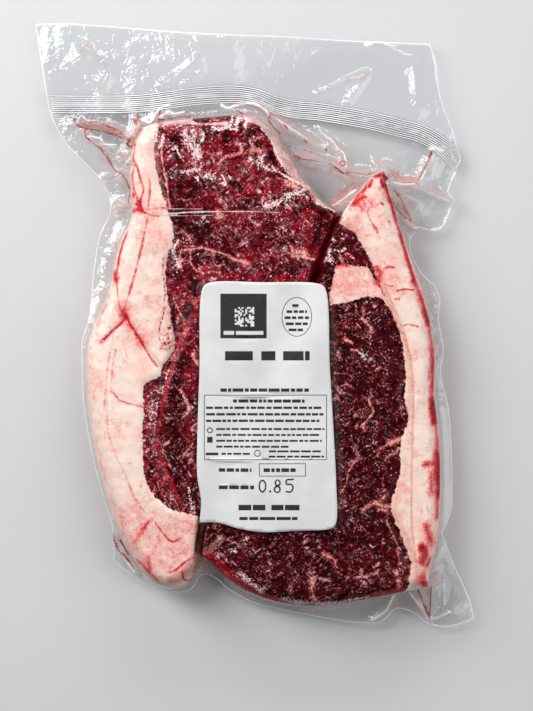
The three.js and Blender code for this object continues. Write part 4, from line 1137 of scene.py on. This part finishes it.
# Painted highlights: bright lines and patches where the film's creases, folds and crumples catch the light.
FILM_HIGHLIGHT_LINES = [
    ([(-52.3, 54.2), (-48, 52.9), (-38.9, 52.8), (-30.4, 53.4), (-24, 53.6)], 0.4, 0.95),
    ([(-24, 53.6), (-12, 53.8), (-1, 53.7)], 0.35, 0.8),
    ([(-1, 53.7), (6, 53.5), (12, 53.2)], 0.3, 0.7),
    ([(-50, 55.2), (-42, 55.1), (-25, 55)], 0.25, 0.75),
    ([(-44, 51.9), (-34, 51.7), (-20, 52)], 0.25, 0.7),
    ([(-86.5, 98), (-84, 102), (-81.5, 99.6), (-77, 99.2)], 0.35, 0.85),
    ([(-90, 103), (-80, 103.4), (-66, 103.2)], 0.4, 0.9),
    ([(-94, 96), (-91.5, 102), (-87.5, 97)], 0.3, 0.6),
    ([(-80, 91.7), (-75, 91), (-74, 92.5)], 0.35, 1),
    ([(-75, 91), (-74, 90)], 0.35, 1),
    ([(-75, 87.8), (-67, 87.5)], 0.4, 0.9),
    ([(-74.5, 69.5), (-64, 72.5)], 0.4, 1),
    ([(-66, 74), (-62, 77.5)], 0.35, 0.9),
    ([(-61.5, 78.5), (-57.5, 83)], 0.35, 0.9),
    ([(-54.5, 99.5), (-51, 101), (-50, 102.3)], 1.0, 1),
    ([(-53, 99), (-50.5, 97.6), (-49.3, 103)], 0.7, 1),
    ([(-49.5, 98), (-46, 105), (-41, 107)], 0.5, 0.9),
    ([(-46, 100.3), (-43, 102), (-41.5, 103.8), (-39.5, 102.5), (-34, 103.4)], 0.6, 1),
    ([(-41.8, 103), (-40.5, 102.8)], 1.3, 1),
    ([(38, 57.3), (43, 61), (49, 65.5)], 0.5, 1),
    ([(41.5, 50.5), (44.5, 55.5), (47.8, 60.5)], 0.35, 0.9),
    ([(-16, 107), (-14, 105.5), (-7, 107), (0, 107.4), (7, 102.3), (14, 97)], 0.6, 1),
    ([(14, 97), (24, 90.8), (28, 88), (34, 86.2)], 0.9, 0.9),
    ([(25, 89.5), (31, 87.5), (36.5, 87.8)], 0.6, 0.7),
    ([(31, 97), (32, 94), (37.5, 89.5), (40, 86), (43.5, 82.5), (44.5, 78), (44.5, 76)], 0.4, 0.95),
    ([(22.5, 79), (29, 77.4), (36, 75.5), (42, 72.5), (50, 70), (54, 70)], 0.5, 1),
    ([(63.5, 68), (72, 68), (77, 68), (85, 64.5), (95, 60)], 1.0, 0.95),
    ([(69, 65.3), (75, 65.3)], 0.9, 0.9),
    ([(87.2, 83), (85.5, 78), (83.5, 75), (80.5, 70)], 0.45, 1),
    ([(68.5, 54), (73, 50), (76, 47.5), (79, 47), (84, 45.5)], 0.45, 1),
    ([(86, 46.5), (91, 48), (93.5, 52), (95, 58)], 0.4, 0.9),
    ([(86.5, 86.5), (91, 85)], 1.6, 0.9),
    ([(79, -128), (85, -142.5), (95, -139.5)], 0.6, 1),
    ([(75, -129.5), (84, -141)], 0.5, 1),
    ([(67, -131), (62.5, -139.5), (57, -143)], 0.9, 1),
    ([(92.5, -124), (92.5, -136)], 0.4, 0.8),
    ([(-66, -108), (-58.5, -118.5), (-52, -124)], 0.6, 1),
]
# Painted shade: dark crimson flanks and a near black middle where the steaks meet, painted on the film over
# the join.
JOIN_SHADE_MARKS = [
    ([(40.2, 51.5), (38.2, 48), (35.6, 41.5), (33, 34.5), (30.4, 28), (28, 23), (27, 20)], 1.5, 1),
    ([(31, 26.5), (29.5, 22.5), (28.5, 19.5)], 2.0, 1.1),
    ([(41.3, 53.6), (39.5, 50)], 0.9, 0.8),
    ([(-25.7, -94), (-26, -104), (-26.8, -109.5)], 1.6, 0.66),
]
TAN_FILLS = [
    ([(-84, 96.8), (-76, 96.2), (-70, 94.3), (-64, 91.5)], 1.2, 1),
    ([(-60, 87.5), (-57, 91), (-55.5, 94)], 2.2, 1),
    ([(67, 73.5), (72, 71), (79, 70)], 2, 0.7),
    ([(39, 59), (43, 63), (48, 67)], 3, 0.7),
    ([(-38.5, -121.5), (-34, -119.5), (-30, -115.5), (-28, -112)], 2.6, 1.1),
    ([(-61.5, -108.5), (-57, -115.5), (-54, -120.5)], 0.5, 0.7),
]
film_loop = closed_line(POUCH_OUTLINE, 1.6)
seal = smooth(SEAL, 0.75)
mouth = smooth([p[:2] for p in MOUTH], 4)


def parting(at):
    """How far each layer lifts away from the film's middle towards the open mouth."""
    opening = PARTING * ease((at[:, 1] - PARTING_FROM) / PARTING_RUN)
    return opening * (0.55 + 0.45 * np.cos(at[:, 0] / 24 + 1))


def rib_height(at):
    """How far the seal's ribs stand up."""
    across = nearest(seal, at)[0]
    wave = 0.5 + 0.5 * np.cos(2 * np.pi * across / RIB_PITCH)
    return RIB_HEIGHT * wave * (across < SEAL_WIDTH / 2) * (depth_in(film_loop, at) > RIBS_FROM_RIM)


FILM_RINGS = (-2.5, -1.5, -0.8, -0.3, 0.05, 0.3, 0.7, 1.2, 1.9, 2.8)
FILM_FOOT_RINGS = (-3, -1.2, 0.05, 0.5, 1.2, 2.2, 3.6, 5.2, 7)
FILM_STEP = 1.25
FILM_UNDER_STEP = 2.2


def make_pouch():
    """The film round both steaks, with corners laid along its ribs, folds, dents and marks."""
    rows = [beside(seal, step * RIB_PITCH / 2) for step in range(-SEAL_RIBS, SEAL_RIBS + 1)]
    edges = [beside(loop, inwards, closed=True) for loop in outlines for inwards in FILM_RINGS]
    lines = [smooth(path, 0.7) for path, *_ in JUICE_LINES + FILM_HIGHLIGHT_LINES]
    ridges = [beside(line, away) for line in [*folds, film_crease] for away in (0, 0.5, -0.5, 1.2, -1.2)]
    creases = [beside(line, away) for line, *_ in dents for away in (0, 1.4, -1.4)]
    rims = [beside(film_loop, inwards, closed=True) for inwards in (0.5, 1.1)]
    grid = lattice(FILM_STEP)
    grid = grid[nearest(seal, grid)[0] >= SEAL_WIDTH / 2 + 0.3]
    over = spread([*lines, *ridges, *creases, *edges, *rims, grid], room=0.62)
    over = np.vstack([over[nearest(seal, over)[0] > SEAL_WIDTH / 2 + 0.2], *rows])
    feet = [beside(loop, inwards, closed=True) for loop in outlines for inwards in FILM_FOOT_RINGS]
    beneath = spread([*creases, *feet, lattice(FILM_UNDER_STEP)], room=1.1)
    open_rim = nearest(mouth, film_loop)[0] < 0.4
    corners, faces = skin(
        film_loop,
        over, lambda at: film_over(at) + parting(at) + rib_height(at),
        beneath, lambda at: np.maximum(0, film_under(at) - parting(at)),
        open_rim,
    )
    at = corners[:, :2]
    depth = np.maximum(*(depth_in(loop, at) for loop in outlines))
    tent = corners[:, 2] - margin_height(at)
    values = {
        "juice": marked(JUICE_LINES, at),
        "crease_highlight": marked(FILM_HIGHLIGHT_LINES, at),
        "rim": nearest(film_loop, at, closed=True)[0],
        "across": nearest(seal, at)[0],
        "web": np.where((depth < -0.4) & (tent > 0), tent, 0),
        "join_shade": marked(JOIN_SHADE_MARKS, at),
        "tan": marked(TAN_FILLS, at),
        "on_meat": depth,
    }
    piece = make_piece("pouch", corners, faces, values)
    piece.data.materials.append(film_material())
    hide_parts("vacuum_pack")


FILM_CLEAR = (0.98, 0.985, 0.99, 1)
FILM_BRIGHT = (0.95, 0.96, 0.97, 1)
FILM_SHADE = (0.06, 0.062, 0.066, 1)
FILM_ROSE_HIGHLIGHT = (0.93, 0.74, 0.74, 1)
POCKET_TAN = (0.55, 0.25, 0.20, 1)
FILM_JUICE = (0.36, 0.006, 0.008, 1)
JOIN_SHADE_RED = (0.110, 0.0016, 0.0056, 1)
JOIN_SHADE_DARK = (0.010, 0.0002, 0.0006, 1)


def film_material():
    """Clear film with mirror gloss, painted highlights and shade on ribs, creases and join, and the juice it
    holds.
    """
    material, end = new_material("clear_pouch_film")
    at = end.place()
    fine = at.grain(1.2, 2)
    crinkle = at.grain(9, 3, 0.6)
    clear = end.node("BsdfTransparent", inputs={"Color": FILM_CLEAR})
    wet = end.value("on_meat").rise(-0.5, 3.5)
    normal = (crinkle + (crinkle + at.grain(3.5, 2) * 0.4) * (1 - wet) + fine * 0.08).bump(0.5)
    gloss = end.shine(FILM_BRIGHT, wet * 0.14 + 0.08, Metallic=1.0, Normal=normal)
    facing = end.node("LayerWeight", inputs={"Blend": 0.5, "Normal": normal}, out=1)
    mirror = (facing.sum("POWER", facing, 5) * 0.9 + 0.04) * (1 - wet * 0.7)
    mirror = mirror * (1 - end.value("join_shade").rise(0.0, 0.3))
    film = mirror.cover(clear, gloss)

    # Painted highlights along the film's cut edge and on the seal's rib crests, and painted shade in the rib
    # valleys.
    uneven = at.grain(24, 3).rise(0.35, 0.65) * 0.5 + 0.5
    band = end.value("across").rise(SEAL_WIDTH / 2 + 0.1, SEAL_WIDTH / 2 - 0.1)
    band = band * end.value("rim").rise(1.2, 1.7)
    rib = end.sum("COSINE", end.value("across") * (2 * math.pi / RIB_PITCH))
    haze_and_sheen = (end.value("rim").rise(0.7, 0.15) * 0.55).or_else(band * rib.rise(-0.1, 0.7) * uneven * 0.95)
    valley = band * rib.rise(0.2, -0.5) * (uneven * 0.4 + 0.2)
    film = valley.cover(film, end.shine(FILM_SHADE, 0.2))
    # Painted highlights along creases, rose over the meat; the small cells are specks of dust.
    crease_highlight = (end.value("crease_highlight") + (fine - 0.5) * 0.5 + (crinkle - 0.5) * 0.8).rise(0.3, 1.0) * 0.75
    haze_and_sheen = haze_and_sheen.or_else(crease_highlight).or_else(at.cells(3.2).rise(0.07, 0.03) * 0.3)
    film = haze_and_sheen.cover(film, end.shine(wet.blend(FILM_BRIGHT, FILM_ROSE_HIGHLIGHT), 0.3))

    juice = (end.value("juice") + (fine - 0.5) * 0.8 + (crinkle - 0.5) * 0.8).rise(0.50, 0.85)
    web = end.value("web").rise(1.2, 4.5) * crinkle.rise(0.35, 0.6) * 0.35
    web = web.or_else((end.value("tan") + (fine - 0.5) * 0.5).rise(0.3, 0.7) * 0.5)
    stained = end.shine(juice.blend(POCKET_TAN, FILM_JUICE), 0.12)
    film = (juice * 0.85).or_else(web).cover(film, stained)
    # Painted shade in the join between the steaks: dark crimson at its edges and near black in its middle.
    join_shade = end.value("join_shade") + (at.grain(2.2, 3, 0.6) - 0.5) * 0.7
    join_shade_surface = end.shine(join_shade.rise(0.66, 0.92).blend(JOIN_SHADE_RED, JOIN_SHADE_DARK), 0.6, **NO_GLOSS)
    film = (join_shade.rise(0.25, 0.85) * 0.95).cover(film, join_shade_surface)
    finish_material(end, film)
    return material


make_pouch()


# The label: a sheet of white paper with rounded corners, stuck on the film across both steaks. It dips along
# the join and has soft wrinkles. Its print is plain bars, boxes, rings and a figure in pen.
LABEL_LIFT = 0.3
LABEL_THICKNESS = 0.3
LABEL_STEP = 1.3
LABEL_RIM_CLEARANCE = 0.7
WRINKLE_ROOM = 0.25
RING_SIDES = 40
CODE_CELLS = 11
CODE_CELL = 0.84
CODE_PAPER_SHARE = 0.52
PAPER_WHITE = (0.68, 0.68, 0.675, 1)
PAPER_DULL = (0.60, 0.60, 0.597, 1)
PAPER_SPECK = (0.3, 0.3, 0.3, 1)
INK_BLACK = (0.012, 0.012, 0.014, 1)
INK_WORN = (0.12, 0.12, 0.12, 1)


def box_mark(left, right, low, high):
    """A box from its four edges."""
    return [(left, low), (right, low), (right, high), (left, high)]


def ring_mark(x, y, across, tall):
    """An oval about x and y, from its half widths."""
    turn = np.linspace(0, 2 * math.pi, RING_SIDES + 1)[:-1]
    return [(x + across * math.cos(t), y + tall * math.sin(t)) for t in turn]


def words(left, right, middle, tall, rng, longest=5.5):
    """A line of print as short solid bars of uneven length."""
    bars, x = [], left
    while x < right - 0.8:
        end = min(right, x + rng.uniform(1.4, longest))
        bars.append((box_mark(x, end, middle - tall / 2, middle + tall / 2), True))
        x = end + rng.uniform(0.5, 0.75)
    return bars


def stroke(points, width):
    """A pen stroke along points."""
    line = smooth(points, 0.7)
    left, right = beside(line, width / 2), beside(line, -width / 2)
    return [tuple(p) for p in np.vstack([right, left[::-1]])]


def frame_mark(left, right, low, high, line=0.35):
    """A box drawn as a line."""
    outer = box_mark(left, right, low, high)
    inner = box_mark(left + line, right - line, low + line, high - line)
    return [(outer, True), (inner, False)]


def label_print():
    """Every printed shape with True for ink, or False for paper left inside an inked shape."""
    rng = np.random.default_rng(7)
    marks = [(box_mark(-16, 6, -6.6, 14.6), True)]
    for row in range(CODE_CELLS):
        for column in range(CODE_CELLS):
            if rng.random() < CODE_PAPER_SHARE:
                x, y = -9.2 + column * CODE_CELL, -1.0 + row * CODE_CELL
                marks.append((box_mark(x, x + CODE_CELL, y, y + CODE_CELL), False))
    marks += [(box_mark(-14.5, -9.5, -4.9, -3.1), False), (box_mark(-8.6, 4.4, -4.9, -3.1), False)]
    marks += [(ring_mark(20.3, 3.6, 7.2, 9.4), True), (ring_mark(20.3, 3.6, 6.85, 9.05), False)]
    for row, half in enumerate((2.2, 4.9, 5.8, 5.2, 3.9)):
        marks += words(20.3 - half, 20.3 + half, 9 - row * 2.9, 1.3, rng, 4)
    marks += words(-13.8, -0.6, -14.9, 4.4, rng, 14)
    marks += words(3.4, 10.8, -14.9, 4.4, rng, 8) + words(13.8, 26.4, -14.9, 4.4, rng, 13)
    marks += words(-16, 26, -31.2, 1.6, rng)
    marks += frame_mark(-23.8, 34.6, -64.4, -33.4)
    marks += words(-10, 24, -36.4, 1.5, rng)
    for row, (left, right) in enumerate(((-22.8, 32.4), (-22.8, 33), (-22.8, 31))):
        marks += words(left, right, -39.6 - row * 3.1, 1.15, rng, 5)
    for row, (left, right) in enumerate(((-18, 33.4), (-18, 31.5), (-18, 32.2), (-18, 17))):
        marks += words(left, right, -49.7 - row * 2.8, 0.95, rng, 4.5)
    marks += [(ring_mark(-21, -50.3, 1.4, 1.4), True), (ring_mark(-21, -50.3, 0.9, 0.9), False)]
    marks += [(box_mark(-22.3, -19.7, -56.2, -53.4), True), (box_mark(-23, -17, -62.2, -60.9), True)]
    marks += words(-15.5, -2, -61.5, 0.95, rng)
    marks += words(7, 33.2, -60.3, 0.95, rng) + words(7, 33.2, -62.8, 0.95, rng)
    marks += [(ring_mark(1.6, -61.2, 1.6, 1.6), True), (ring_mark(1.6, -61.2, 1.2, 1.2), False)]
    marks += words(-16.8, -1.2, -69.2, 1.7, rng) + frame_mark(2.4, 24.6, -72.2, -66)
    marks += words(4.5, 20.5, -69.2, 1.8, rng, 4)
    marks += words(-16.8, 0, -77.4, 1.8, rng)
    five = [(18.8, -73.5), (17, -73.7), (15.6, -73.7), (15.4, -75.9)]
    five += [(17.6, -75.9), (18.5, -77.6), (17.4, -79.5), (14.9, -79.4)]
    marks += [
        (ring_mark(4.0, -76.8, 1.9, 3.1), True),
        (ring_mark(4.0, -76.8, 1.15, 2.3), False),
        (ring_mark(7.6, -79.3, 0.55, 0.55), True),
        (ring_mark(11.2, -75.3, 1.5, 1.7), True),
        (ring_mark(11.0, -78.3, 1.7, 1.8), True),
        (ring_mark(11.2, -75.2, 0.75, 0.95), False),
        (ring_mark(11.0, -78.4, 0.95, 1.05), False),
        (stroke(five, 0.75), True),
    ]
    marks += words(-7.4, 6, -87, 2.6, rng, 13) + words(8.2, 21.6, -87, 2.6, rng, 13)
    marks += words(-7, 20.6, -92.2, 1.5, rng, 9)
    return marks


def label_height(at):
    """The height of the label's underside, with soft wrinkles and a buckle at its left edge."""
    buckle = 0.5 * np.exp(-(((at[:, 0] + 24) / 5) ** 2 + ((at[:, 1] + 80) / 9) ** 2))
    wrinkled = label_bed(at) + LABEL_LIFT + 0.22 * lumps(at, 16, 11) + 0.06 * lumps(at, 5, 12)
    return wrinkled + WRINKLE_ROOM + buckle


def make_label():
    """The label's top, cut along every printed shape, and its thin edge."""
    marks = label_print()
    places = lattice(LABEL_STEP)
    places = places[depth_in(label_loop, places) > LABEL_RIM_CLEARANCE]
    rings = [label_loop.tolist(), *(shape for shape, ink in marks)]
    points = [Vector(p) for ring in rings for p in ring] + [Vector(p) for p in places]
    starts = np.cumsum([0, *map(len, rings)])
    loops = [list(range(a, b)) for a, b in zip(starts, starts[1:])]
    flat, faces, loops_of, numbers = triangulated(points, loops, 1e-4)
    on_paper = [(face, max(rings_over)) for face, rings_over in zip(faces, loops_of) if rings_over]
    inked = [ring > 0 and marks[ring - 1][1] for _, ring in on_paper]
    rim = [numbers[i] for i in range(len(label_loop))]
    height = label_height(flat)
    under = [len(flat) + i for i in range(len(rim))]
    corners = np.vstack([
        np.column_stack([flat, height + LABEL_THICKNESS]),
        np.column_stack([flat[rim], height[rim]]),
    ])
    faces = [list(face) for face, _ in on_paper]
    after = [(i + 1) % len(rim) for i in range(len(rim))]
    faces += [[rim[i], under[i], under[j], rim[j]] for i, j in enumerate(after)]
    piece = make_piece("paper_label", corners, faces, {})
    piece.data.materials.append(paper_material())
    piece.data.materials.append(ink_material())
    for face, ink in zip(piece.data.polygons, inked):
        face.material_index = int(ink)
    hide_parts("label")


def paper_material():
    material, end = new_material("label_paper")
    at = end.place()
    tone = at.grain(18, 3).rise(0.3, 0.7).blend(PAPER_WHITE, PAPER_DULL)
    tone = (at.cells(7).rise(0.035, 0.02) * 0.6).blend(tone, PAPER_SPECK)
    height = at.grain(0.5, 3) * 0.3 + at.grain(7, 2)
    finish_material(end, end.shine(tone, at.grain(2, 2) * 0.2 + 0.45, Normal=height.bump(0.12)))
    return material


def ink_material():
    material, end = new_material("label_ink")
    at = end.place()
    tone = at.grain(0.6, 2).rise(0.62, 0.8).blend(INK_BLACK, INK_WORN)
    finish_material(end, end.shine(tone, at.grain(2, 2) * 0.2 + 0.4))
    return material


make_label()


# The table it lies on, the soft lights round it, and the camera straight above.
CAMERA_HEIGHT = 0.95
CAMERA_OVER = (0.0059, -0.01475)
LENS = 98.3
SENSOR_WIDTH = 36.0
TABLE_HALF = 3.0
TABLE_GAP = 0.0002
TABLE_GREY = (0.58, 0.585, 0.59, 1)
DAYLIGHT = (0.96, 0.97, 1.0, 1)
DAYLIGHT_STRENGTH = 0.09


def make_floor():
    mesh = bpy.data.meshes.new("table_top")
    corners = [(x * TABLE_HALF, y * TABLE_HALF, 0) for x, y in ((-1, -1), (1, -1), (1, 1), (-1, 1))]
    mesh.from_pydata(corners, [], [(0, 1, 2, 3)])
    floor = bpy.data.objects.new("table_top", mesh)
    bpy.context.scene.collection.objects.link(floor)
    material, end = new_material("pale_table")
    finish_material(end, end.shine(TABLE_GREY, 0.75))
    mesh.materials.append(material)
    floor.location.z = -TABLE_GAP


def soft_light(name, place, size, power):
    """A broad lamp at a place, turned towards the pack."""
    light = bpy.data.lights.new(name, "AREA")
    light.shape = "RECTANGLE"
    light.size, light.size_y = size
    light.energy = power
    lamp = bpy.data.objects.new(name, light)
    lamp.location = place
    lamp.rotation_euler = (Vector((0, 0, 0)) - Vector(place)).to_track_quat("-Z", "Y").to_euler()
    bpy.context.scene.collection.objects.link(lamp)


make_floor()
soft_light("window_left", (-0.75, 0.55, 0.75), (0.5, 0.9), 16)
soft_light("fill_right", (0.9, -0.2, 0.7), (0.8, 1.3), 8)
soft_light("rim_top", (0.1, 1.0, 0.45), (0.9, 0.25), 6)
world = bpy.data.worlds.new("studio")
world.use_nodes = True
world.node_tree.nodes["Background"].inputs["Color"].default_value = DAYLIGHT
world.node_tree.nodes["Background"].inputs["Strength"].default_value = DAYLIGHT_STRENGTH
scene = bpy.context.scene
scene.world = world
scene.view_settings.view_transform = "Standard"

camera = bpy.data.cameras.new("camera")
camera.lens = LENS
camera.sensor_width = SENSOR_WIDTH
camera.clip_start = 0.01
camera_object = bpy.data.objects.new("camera", camera)
camera_object.location = (*CAMERA_OVER, CAMERA_HEIGHT)
scene.collection.objects.link(camera_object)
scene.camera = camera_object
